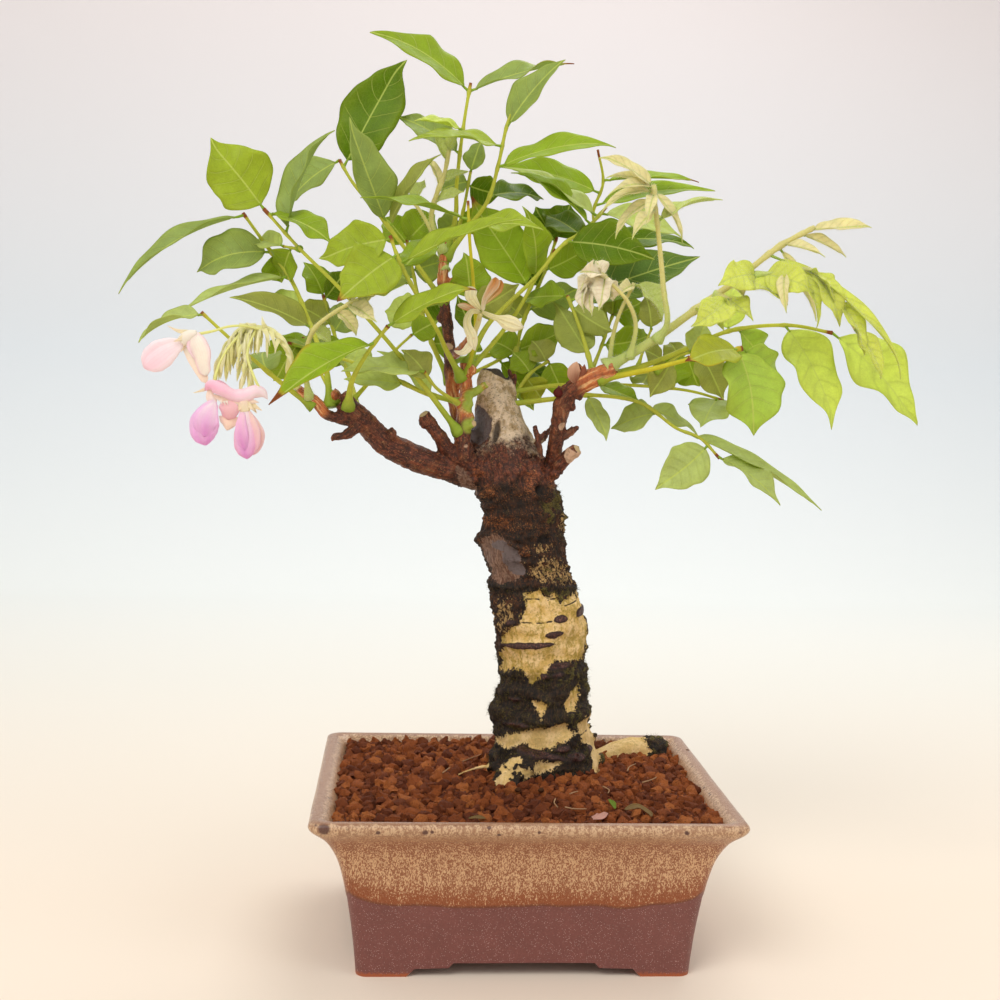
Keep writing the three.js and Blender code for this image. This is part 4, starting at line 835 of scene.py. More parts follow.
# Painted shade: the splits in the pale bark, sunk a little into it, are painted near black.
worn = (dye.mark("splits").step(0.3, 0.8)).mix(worn, BLACK_BARK)
torn = dye.mark("pale") + 0.9 * (speck - 0.5) + 0.5 * (fibre - 0.5) + 0.5 * (dye.cloud(3, 2, seed=5) - 0.5)
ground = torn.step(0.46, 0.53).mix(ground, worn)
mossy = fleck.step(0.4, 0.65).mix(MOSS_DARK, MOSS_LIGHT)
ground = (dye.mark("moss").torn(0.9, speck, 0.4, 0.8) * 0.8).mix(ground, mossy)
pore = fleck.torn(0.6, speck, 0.5, 0.66).mix(PORE_DARK, PORE_LIGHT)
pore = dye.mark("pores").step(0.8, 1.0).mix(PORE_DARK, pore)
ground = dye.mark("pores").torn(0.5, speck, 0.3, 0.55).mix(ground, pore)
scar = fibre.torn(0.5, speck, 0.4, 0.62).mix(WOUND_BROWN, WOUND_PINK)
ground = dye.mark("wound").torn(0.6, speck, 0.45, 0.55).mix(ground, scar)
sealed = speck.shade(WOUND_GREY, 0.88, 1.1)
ground = dye.mark("grey").torn(0.7, speck, 0.46, 0.54).mix(ground, sealed)
# Painted shade: the hollows, and at half strength the cracks of the bark, are painted near black for the
# shade that lies in them.
ground = (dye.mark("hollow") * 0.85).mix(ground, BLACK_BARK)
ground = dye.mark("green").mix(ground, speck.shade(BUD_GREEN_FRESH, 0.75, 1.15))
cap = dye.mark("stub").step(0.2, 0.5).mix(CUT_WOOD, CAP_GREY)
ground = dye.mark("cut").torn(0.3, fleck, 0.3, 0.6).mix(ground, speck.shade(cap, 0.7, 1.1))
join("Base Color", ground)
shine = 0.32 * dye.mark("red") + 0.35 * dye.mark("orange") + 0.3 * dye.mark("wound")
shine = shine + 0.35 * dye.mark("pores")
join("Roughness", 0.84 - shine + 0.2 * (speck - 0.5))
join("Normal", dye.relief(speck + 0.5 * fleck + 0.5 * fibre, 0.5, 0.9))
wood_piece = settle("wood_and_bark", wood_mesh, bark)
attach(wood_piece, "root")
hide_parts("trunk")

# Soil: hard fired red clay granules, sieved to 3 to 8 mm, heaped a little towards the trunk. The large ones
# are rough, rounded crumbs; smaller angular ones and dust lie between them.
BED_COLUMNS, BED_ROWS = 60, 50
SOIL_EDGE = 66.5
SOIL_CROWN = 3.2
SOIL_REACH = (84, 72)
SOIL_RISE = 0.018
WALL_GAP = 1.2
SKIRT_FOOT = 60
SKIRT_NARROW = 0.95
CRUMB_KINDS = 9
CRUMB_LAYERS = [
    {"Spacing": 5.0, "Small": 1.7, "Large": 3.7, "Lift": 0.2, "Seed": 3, "fine": False},
    {"Spacing": 3.8, "Small": 1.2, "Large": 2.4, "Lift": -0.3, "Seed": 11, "fine": True},
    {"Spacing": 3.1, "Small": 0.5, "Large": 1.3, "Lift": 0.1, "Seed": 23, "fine": True},
]


def soil_height(x, y):
    reach = np.hypot(x / SOIL_REACH[0], y / SOIL_REACH[1])
    return SOIL_EDGE + SOIL_CROWN * np.maximum(0, 1 - reach ** 2) + SOIL_RISE * np.maximum(0, y)


def crumb(seed, fine):
    """One clay granule of 1 mm radius: a dented ball, or for the fine ones the hull of points near a ball."""
    random = np.random.default_rng(seed)
    work = bmesh.new()
    if fine:
        points = unit(random.normal(size=(14, 3))) * random.uniform(0.85, 1.05, (14, 1)) * (1, 0.9, 0.8)
        for point in points * MM:
            work.verts.new(point)
        hull = bmesh.ops.convex_hull(work, input=work.verts)
        bmesh.ops.delete(work, geom=list(set(hull["geom_interior"] + hull["geom_unused"])), context="VERTS")
    else:
        bmesh.ops.create_icosphere(work, subdivisions=2, radius=1)
        squash = random.uniform(0.66, 1.08, 3)
        shift = Vector(random.uniform(-50, 50, 3))
        for vertex in work.verts:
            dent = noise.noise(vertex.co * 1.2 + shift) * 0.7 + noise.noise(vertex.co * 3.1 + shift) * 0.45
            dent += random.uniform(-0.07, 0.07)
            vertex.co = Vector(np.array(vertex.co) * squash) * (1 + dent) * MM
    bmesh.ops.recalc_face_normals(work, faces=work.faces)
    mesh = bpy.data.meshes.new("granule")
    work.to_mesh(mesh)
    work.free()
    return bpy.data.objects.new("granule", mesh)


def scatter_tree(name, sizes):
    """A node tree that sets small pieces on a surface at a rule: its named inputs are its sizes."""
    tree = bpy.data.node_groups.new(name, "GeometryNodeTree")
    face = tree.interface
    face.new_socket("Geometry", in_out="INPUT", socket_type="NodeSocketGeometry")
    face.new_socket("Pieces", in_out="INPUT", socket_type="NodeSocketCollection")
    for size in sizes:
        kind = "NodeSocketInt" if size == "Seed" else "NodeSocketFloat"
        face.new_socket(size, in_out="INPUT", socket_type=kind)
    face.new_socket("Material", in_out="INPUT", socket_type="NodeSocketMaterial")
    face.new_socket("Geometry", in_out="OUTPUT", socket_type="NodeSocketGeometry")

    def node(kind, sockets=None, **settings):
        made = tree.nodes.new(kind)
        for key, value in settings.items():
            setattr(made, key, value)
        for key, value in (sockets or {}).items():
            if isinstance(value, bpy.types.NodeSocket):
                tree.links.new(value, made.inputs[key])
            else:
                made.inputs[key].default_value = value
        return made.outputs

    return tree, node, node("NodeGroupInput")


def made_real(node, given, placed):
    """The end of such a tree: the placed pieces made real, in the given material, as its output."""
    real = node("GeometryNodeRealizeInstances", {"Geometry": placed})
    coated = node("GeometryNodeSetMaterial", {"Geometry": real["Geometry"], "Material": given["Material"]})
    node("NodeGroupOutput", {"Geometry": coated["Geometry"]})


def worked(name, surface, tree, material, **values):
    """The plain mesh that a tree makes of a surface, with its inputs set by their names."""
    made = put_in(name, surface)
    added = made.modifiers.new(name, "NODES")
    added.node_group = tree
    values["Material"] = material
    for item in tree.interface.items_tree:
        if item.in_out == "INPUT" and item.name in values:
            added[item.identifier] = values[item.name]
    return finished_mesh(made)


granules = {}
for fine_kind in (False, True):
    granules[fine_kind] = bpy.data.collections.new("granules")
    bpy.context.scene.collection.children.link(granules[fine_kind])
    for kind in range(CRUMB_KINDS):
        granules[fine_kind].objects.link(crumb(kind + 1, fine_kind))

tree, node, given = scatter_tree("granules on soil", ["Spacing", "Small", "Large", "Lift", "Seed"])
spread = node("GeometryNodeDistributePointsOnFaces", {
    "Mesh": given["Geometry"], "Distance Min": given["Spacing"], "Density Max": 1e6, "Seed": given["Seed"]},
    distribute_method="POISSON")
raise_by = node("ShaderNodeCombineXYZ", {"Z": given["Lift"]})
lifted = node("GeometryNodeSetPosition", {"Geometry": spread["Points"], "Offset": raise_by[0]})
kinds = node("GeometryNodeCollectionInfo", {"Collection": given["Pieces"], "Separate Children": True,
                                            "Reset Children": True})
turns_drawn = node("FunctionNodeRandomValue", {0: (0, 0, 0), 1: (6.28, 6.28, 6.28), "Seed": given["Seed"]},
                   data_type="FLOAT_VECTOR")
sizes_drawn = node("FunctionNodeRandomValue", {2: given["Small"], 3: given["Large"], "Seed": given["Seed"]},
                   data_type="FLOAT")
set_down = node("GeometryNodeInstanceOnPoints", {
    "Points": lifted["Geometry"], "Instance": kinds[0], "Pick Instance": True,
    "Rotation": turns_drawn["Value"], "Scale": sizes_drawn[1]})
shade_drawn = node("FunctionNodeRandomValue", {2: 0.0, 3: 1.0, "Seed": 5}, data_type="FLOAT")
shaded = node("GeometryNodeStoreNamedAttribute", {
    "Geometry": set_down["Instances"], "Name": "shade", "Value": shade_drawn[1]},
    data_type="FLOAT", domain="INSTANCE")
made_real(node, given, shaded["Geometry"])

clay_soil, dye, join = finish("fired_clay_granules", specular_ior_level=0.3)
SOIL_RED, SOIL_DARK = paint(156, 82, 36), paint(106, 50, 22)
SOIL_TAN, SOIL_PORE_AND_SHADE = paint(180, 104, 50), paint(40, 18, 10)
shade = dye.mark("shade")
grit = dye.cloud(0.7, 4, 0.75)
lump = dye.cloud(2.2, 3, 0.6)
grain_colour = shade.step(0.0, 0.7).mix(SOIL_DARK, SOIL_RED)
grain_colour = (shade.step(0.72, 1.0) * 0.8).mix(grain_colour, SOIL_TAN)
# Painted light and shade: each granule is lighter where its bumped surface stands high and darker where it
# dips, by the same noise as the bump.
grain_colour = (grit * 0.6 + lump * 0.4).shade(grain_colour, 0.6, 1.42)
# Painted shade, partly the clay's own pores: the lowest dents of the bump are darkened nearly to black.
grain_colour = (grit.torn(0.4, lump, 0.43, 0.3) * 0.8).mix(grain_colour, SOIL_PORE_AND_SHADE)
join("Base Color", grain_colour)
join("Roughness", grit * 0.1 + 0.85)
join("Normal", dye.relief(grit + 0.8 * lump, 1.0, 1.2))

inside_x, inside_y = POT_BASE[0] + 10 - WALL_GAP, POT_BASE[1] + 10 * DEPTH_SHARE - WALL_GAP
grid_x, grid_y = np.meshgrid(np.linspace(-inside_x, inside_x, BED_COLUMNS),
                             np.linspace(-inside_y, inside_y, BED_ROWS))
bed_points = np.stack([grid_x, grid_y, soil_height(grid_x, grid_y) - 0.8], axis=-1).reshape(-1, 3)
bed_points[:, 2] += 0.5 * noise_at(bed_points, 7, 9)
bed = bpy.data.meshes.new("soil_bed")
bed.from_pydata(in_metres(bed_points), [], wall_faces(BED_ROWS, BED_COLUMNS, closed=False))
soil = bmesh.new()
soil.from_mesh(bed)
soil.verts.layers.float.new("shade")
rim = [e for e in soil.edges if e.is_boundary]
skirt = bmesh.ops.extrude_edge_only(soil, edges=rim)["geom"]
for vertex in (v for v in skirt if isinstance(v, bmesh.types.BMVert)):
    vertex.co.z = SKIRT_FOOT * MM
    vertex.co.x = POT_MIDDLE.x + (vertex.co.x - POT_MIDDLE.x) * SKIRT_NARROW
    vertex.co.y = POT_MIDDLE.y + (vertex.co.y - POT_MIDDLE.y) * SKIRT_NARROW
bmesh.ops.holes_fill(soil, edges=[e for e in soil.edges if e.is_boundary])
for layer in CRUMB_LAYERS:
    in_mm = {"Spacing": layer["Spacing"] * MM, "Lift": layer["Lift"] * MM}
    soil.from_mesh(worked("granules", bed.copy(), tree, clay_soil, Pieces=granules[layer["fine"]],
                          Small=layer["Small"], Large=layer["Large"], Seed=layer["Seed"], **in_mm))
bmesh.ops.recalc_face_normals(soil, faces=soil.faces)
soil_mesh = bpy.data.meshes.new("soil")
soil.to_mesh(soil_mesh)
soil.free()
for store in granules.values():
    bpy.data.collections.remove(store)
soil_piece = settle("soil_granules", soil_mesh, clay_soil, sharp=50)
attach(soil_piece, "root")
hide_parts("soil")

# Leaves: each is one grown stalk with up to 6 leaflets on short hairy stalklets. A leaflet is a thin soft
# blade with a drawn-out tip, a sunken midrib and seven pairs of side veins, and a waved edge.

# Each row gives the stalk's radii and route, then per leaflet: place on the stalk, tip, width, roll, arch,
# fold and tone. Inner leaves grow in the piece that they name. DRY_TIPS names the leaflets with a dry tip.
LEAVES = {
    "leaf_left_drooping": ((1.6, 1, 0.9, 0.7), [(-87, -5, 234), (-89, -1, 250), (-93, 2, 261), (-98, 6, 273),
        (-106, 10, 290), (-119, 14, 307), (-128, 16, 319)], [
        (0.99, -182, 8, 282, 11, 60, 0.1, 26, "blue"), (0.78, -149, 22, 292, 21, 25, 0.2, 22, "blue"),
        (0.64, -154, 2, 274, 12, 70, 0.06, 20, "under"), (0.38, -131, -4, 281, 13, 40, 0.06, 30, "olive"),
        (0.77, -111, 22, 289, 16, 20, 0.05, 4, "green"), (0.5, -119, 14, 281, 11, 60, 0.05, 20, "pale")]),
    "leaf_left_tall": ((1.6, 1, 0.9, 0.7), [(-30, 5, 224), (-46, -8, 244), (-63, -10, 264), (-85, -8, 287),
        (-101, -6, 302), (-117, -2, 319)], [
        (1, -141, -6, 347, 28, 10, 0.05, 8, "lime"), (0.89, -90, 6, 356, 15, 58, 0.06, 35, "blue"),
        (0.98, -86, -12, 304, 16, 55, 0.1, 15, "green")]),
    "leaf_left_low": ((1.4, 0.9, 0.7), [(-94, -7, 234), (-104, -9, 241), (-120, -13, 254), (-129, -16, 262),
        (-141, -20, 273)], [
        (0.98, -167, -24, 260, 14, 72, 0.1, 20, "under"), (0.4, -118, 8, 258, 17, 15, 0.04, 4, "blue")]),
    "leaf_left_front": ((1.6, 1, 0.8), [(-79, -8, 234), (-77, -17, 246), (-69, -24, 260), (-62, -28, 269)], [
        (0.79, -109, -48, 235, 17, 45, 0.08, 30, "bright"), (1, -26, -34, 287, 15, 52, 0.07, 12, "lime")]),
    "leaf_left_inner": ((1.2, 0.8, 0.6), [(-79, -4, 235), (-69, 4, 247), (-59, 12, 260), (-52, 16, 267)], [
        (1, -40, 20, 274, 13, 10, 0.05, 4, "green")]),
    "leaf_pale_pair": ((1.3, 0.9, 0.7), [(-28, 7, 237), (-45, 0, 241), (-59, 1, 247), (-81, 8, 255),
        (-107, 11, 262)], [
        (0.34, -81, -6, 246, 14, 50, 0.06, 10, "pale"), (0.18, -67, 8, 260, 12, 50, 0.06, 10, "pale"),
        (0.86, -111, 18, 266, 10, 50, 0.05, 4, "bright")]),
    "leaf_upper_left": ((1.5, 1, 0.9, 0.7), [(-37, 26, 282), (-44, 22, 291), (-55, 18, 305), (-69, 16, 322),
        (-80, 20, 335), (-86, 24, 345)], [
        (0.95, -58, 34, 394, 27, 8, 0.06, 8, "deep"), (1, -111, 30, 323, 17, 40, 0.08, 15, "blue"),
        (0.55, -82, 2, 360, 18, 25, 0.05, 30, "blue"), (0.52, -42, 10, 348, 12, 62, 0.05, 30, "olive")]),
    "leaf_front_fan": ((1.6, 1, 0.9, 0.7), [(-29, 8, 248), (-37, -1, 261), (-40, -8, 267), (-49, -18, 281),
        (-58, -24, 297), (-62, -26, 307)], [
        (0.89, -83, -38, 278, 24, 15, 0.07, 10, "lime"), (0.98, -92, -18, 296, 20, 18, 0.08, 10, "lime"),
        (0.84, -7, -40, 315, 14, 62, 0.05, 20, "lime"), (0.72, -75, -8, 284, 14, 50, 0.05, 10, "pale"),
        (0.81, -42, 2, 310, 15, 35, 0.05, 4, "green")]),
    "leaf_yellow_stalk": ((1.1, 0.8, 0.6), [(-27, 8, 249), (-24, -4, 268), (-26, -12, 291), (-28, -14, 308),
        (-29, -14, 324)], [
        (0.9, -75, -10, 325, 16, 78, 0.04, 10, "green"), (0.84, 3, -24, 312, 15, 55, 0.08, 15, "lime")]),
    "leaf_top_left": ((1.5, 1, 0.8, 0.7), [(-37, 28, 306), (-33, 26, 321), (-33, 20, 335), (-31, 14, 358),
        (-29, 12, 373), (-28, 12, 379)], [
        (0.95, -73, 8, 399, 20, 42, 0.08, 12, "green"), (0.95, 19, 18, 391, 12, 66, 0.05, 20, "blue"),
        (0.59, -61, 28, 366, 16, 40, 0.07, 12, "blue"), (0.73, -53, 0, 360, 8, 65, 0.04, 20, "sunlit")]),
    "leaf_top_centre": ((1.5, 1, 0.8, 0.7), [(-37, 28, 303), (-26, 20, 318), (-19, 14, 328), (-15, 10, 343),
        (-12, 8, 359), (-9, 8, 369)], [
        (0.76, -55, -10, 350, 15, 62, 0.06, 12, "lime"), (0.87, 13, 5, 390, 14, 35, 0.05, 25, "blue"),
        (0.64, 36, 0, 353, 16, 50, 0.07, 12, "bright"), (0.47, 9, 36, 332, 15, 50, 0.06, 12, "deep")]),
    "leaf_right_inner": ((1.4, 1, 0.8), [(-27, 9, 250), (-11, 26, 269), (-2, 30, 282), (7, 32, 299),
        (14, 32, 309)], [
        (0.72, -27, 36, 332, 25, 12, 0.07, 8, "bright"), (0.79, -2, 10, 326, 15, 25, 0.05, 10, "bright")]),
    "leaf_right_upper": ((1.6, 1, 0.9, 0.7), [(-27, 10, 254), (-18, 15, 272), (-10, 18, 281), (4, 20, 295),
        (16, 20, 310), (26, 22, 317), (36, 24, 328)], [
        (0.75, 57, 10, 304, 22, 15, 0.06, 15, "deep"), (0.96, 75, 38, 317, 16, 48, 0.07, 12, "pale"),
        (0.89, -8, 20, 343, 16, 60, 0.08, 15, "bright"), (0.94, -10, 30, 346, 16, 62, 0.06, 12, "pale"),
        (0.82, 10, 44, 326, 16, 30, 0.05, 5, "deep")]),
    "leaf_right_high": ((1.4, 1, 0.8, 0.6), [(-34, 22, 256), (-8, 42, 262), (24, 46, 280), (37, 46, 307),
        (33, 48, 328), (37, 46, 342), (33, 38, 356)], [
        (0.86, -13, 46, 348, 17, 38, 0.06, 10, "bright"), (0.9, 84, 48, 345, 12, 70, 0.04, 15, "bright"),
        (0.82, 95, 60, 342, 13, 50, 0.06, 15, "bright"), (0.7, 87, 64, 315, 15, 50, 0.08, 12, "deep")]),
    "leaf_right_olive": ((1.4, 0.9, 0.7), [(29, -4, 250), (26, 8, 265), (23, 16, 276), (19, 22, 287)], [
        (0.28, 14, 30, 285, 17, 185, 0.05, 10, "olive"), (0.88, 38, 2, 270, 13, 165, 0.05, 10, "olive"),
        (0.94, 83, 34, 308, 23, 25, 0.06, 12, "shade"), (1, -1, 40, 286, 15, 45, 0.05, 8, "green")]),
    "leaf_right_yellow": ((1.5, 1, 0.8), [(31, -6, 249), (52, -15, 254), (73, -20, 260), (91, -22, 264)], [
        (0.97, 63, -40, 257, 19, 35, 0.05, 10, "amber"), (0.97, 96, -26, 226, 30, 12, 0.1, 15, "lit"),
        (1, 115, 6, 246, 20, 20, 0.08, 10, "lit")]),
    "leaf_right_wide": ((1.5, 1, 0.8), [(31, -5, 250), (55, 0, 257), (74, 6, 265), (93, 10, 273),
        (120, 10, 276), (139, 8, 273)], [
        (0.81, 139, -4, 230, 22, 14, 0.12, 12, "sunlit"), (1, 178, 0, 231, 24, 25, 0.1, 20, "sunlit"),
        (0.58, 96, 24, 295, 17, 20, 0.05, 5, "sunlit"), (0.62, 116, 24, 254, 16, 30, 0.05, 5, "lit")]),
    "leaf_right_low": ((1.5, 1, 0.8, 0.6), [(-13, 20, 236), (14, 14, 240), (30, 14, 242), (53, 12, 239),
        (69, 8, 228), (79, 4, 224), (88, 2, 215)], [
        (0.93, 58, -2, 201, 20, 8, 0.04, 10, "under"), (0.83, 138, 10, 193, 14, 66, 0.03, 20, "under"),
        (0.99, 114, -8, 195, 17, 55, 0.08, 15, "under"), (0.68, 41, 24, 226, 17, 50, 0.05, 10, "under"),
        (0.38, 38, 6, 222, 11, 30, 0.05, 5, "under"), (0.64, 85, 30, 224, 13, 60, 0.04, 10, "under")]),
    "leaf_right_mid": ((1.4, 1, 0.8, 0.6), [(-13, 21, 241), (15, 24, 246), (51, 26, 247), (78, 24, 245),
        (93, 20, 241)], [
        (0.97, 80, 4, 229, 21, 40, 0.05, 10, "under"), (0.76, 74, 34, 264, 17, 35, 0.05, 5, "bright"),
        (0.45, 54, 14, 239, 12, 50, 0.05, 10, "green")]),
    "leaf_behind_stub": ((1.3, 0.9, 0.7), [(-33, 20, 246), (-15, 32, 255), (-8, 40, 259), (-4, 44, 261)], [
        (0.88, 17, 34, 244, 15, 50, 0.06, 12, "deep"), (0.74, 7, 44, 233, 16, 35, 0.08, 12, "green"),
        (1, 16, 56, 262, 12, 60, 0.05, 15, "green")]),
    "young_shoot_right": ((2.4, 1.8, 1.4, 1), [(34, -6, 254), (53, -7, 266), (70, -10, 279), (88, -14, 293),
        (107, -18, 309), (121, -20, 317)], [
        (0.98, 145, -24, 318, 7, 40, 0.04, 35, "cream"), (0.94, 138, -14, 305, 5, 50, 0.06, 35, "cream"),
        (0.86, 124, -28, 304, 4.5, 50, 0.06, 35, "cream"), (0.64, 108, -30, 283, 13, 50, 0.08, 20, "fresh"),
        (0.84, 127, -10, 277, 5.5, 30, 0.06, 30, "cream"), (0.79, 164, -24, 254, 6, 40, 0.14, 35, "fresh"),
        (0.43, 82, -24, 272, 11, 50, 0.05, 20, "fresh"), (0.61, 91, -22, 286, 5, 30, 0.04, 30, "cream")]),
    "young_leaf_upright": ((1.4, 1.1, 0.8), [(56, -8, 267), (59, -14, 274), (56, -20, 288), (52, -24, 313),
        (49, -24, 332)], [
        (0.99, 25, -30, 343, 7, 30, 0.12, 30, "cream"), (1, 29, -22, 335, 4.5, 40, 0.14, 30, "cream"),
        (0.98, 28, -34, 326, 4.5, 40, 0.16, 30, "cream"), (0.96, 26, -28, 319, 5, 40, 0.18, 30, "cream"),
        (0.91, 33, -24, 309, 5.5, 40, 0.14, 30, "cream"), (0.94, 45, -38, 315, 5, 20, 0.1, 30, "cream"),
        (0.85, 39, -34, 308, 5.5, 40, 0.1, 30, "cream"), (0.96, 64, -18, 309, 5, 40, 0.12, 30, "cream"),
        (0.78, 82, -14, 328, 7, 60, 0.1, 25, "pale")]),
    "young_leaf_crumpled": ((1.1, 0.9, 0.7), [(44, -8, 259), (45, -16, 273), (41, -20, 282), (33, -22, 290),
        (28, -22, 294)], [
        (0.98, 18, -30, 294, 8, 30, 0.1, 35, "blush"), (0.97, 21, -20, 285, 8, 10, 0.1, 35, "blush"),
        (0.94, 27, -32, 278, 9, 20, 0.1, 35, "blush"), (0.92, 35, -14, 283, 7, 30, 0.1, 35, "blush"),
        (0.97, 26, -18, 300, 6, 30, 0.1, 35, "blush")]),
    "young_leaf_folded": ((1.1, 0.9, 0.7), [(35, -6, 252), (37, -4, 269), (40, -2, 279), (46, -2, 292)], [
        (0.97, 38, -8, 286, 6, 30, 0.1, 30, "cream"), (0.99, 58, -10, 275, 11, 40, 0.12, 35, "pale")]),
    "young_shoot_left": ((1.2, 1, 0.7), [(-96, -8, 238), (-97, -20, 254), (-93, -26, 267), (-80, -28, 277),
        (-74, -28, 280)], [
        (0.91, -67, -36, 270, 8, 30, 0.08, 30, "cream"), (0.81, -75, -24, 265, 7, 30, 0.08, 30, "cream"),
        (0.98, -67, -26, 282, 6, 50, 0.05, 25, "cream"), (0.6, -86, -22, 262, 7, 30, 0.08, 25, "pale"),
        (0.93, -80, -24, 286, 5, 30, 0.05, 25, "cream")]),
    "young_shoot_top": ((1.3, 1.1, 0.8), [(-38, 27, 306), (-44, 20, 319), (-42, 13, 330), (-39, 11, 338),
        (-37, 10, 349)], [
        (0.98, -34, 9, 358, 5, 30, 0.05, 30, "pale"), (0.9, -44, 10, 356, 5, 30, 0.05, 30, "pale"),
        (0.72, -28, 11, 340, 6, 40, 0.08, 30, "pale"), (0.66, -47, 15, 346, 5, 40, 0.08, 30, "cream"),
        (0.5, -30, 9, 331, 6, 40, 0.08, 30, "pale")]),
    "young_leaf_bronze": ((1.2, 0.9, 0.7), [(-37, 26, 297), (-43, 34, 314), (-53, 38, 330), (-65, 38, 338)],
        [
        (0.97, -73, 32, 341, 7, 40, 0.06, 30, "pale"), (0.89, -67, 44, 328, 7, 40, 0.06, 30, "pale"),
        (0.7, -47, 46, 341, 7, 40, 0.06, 30, "pale")]),
}
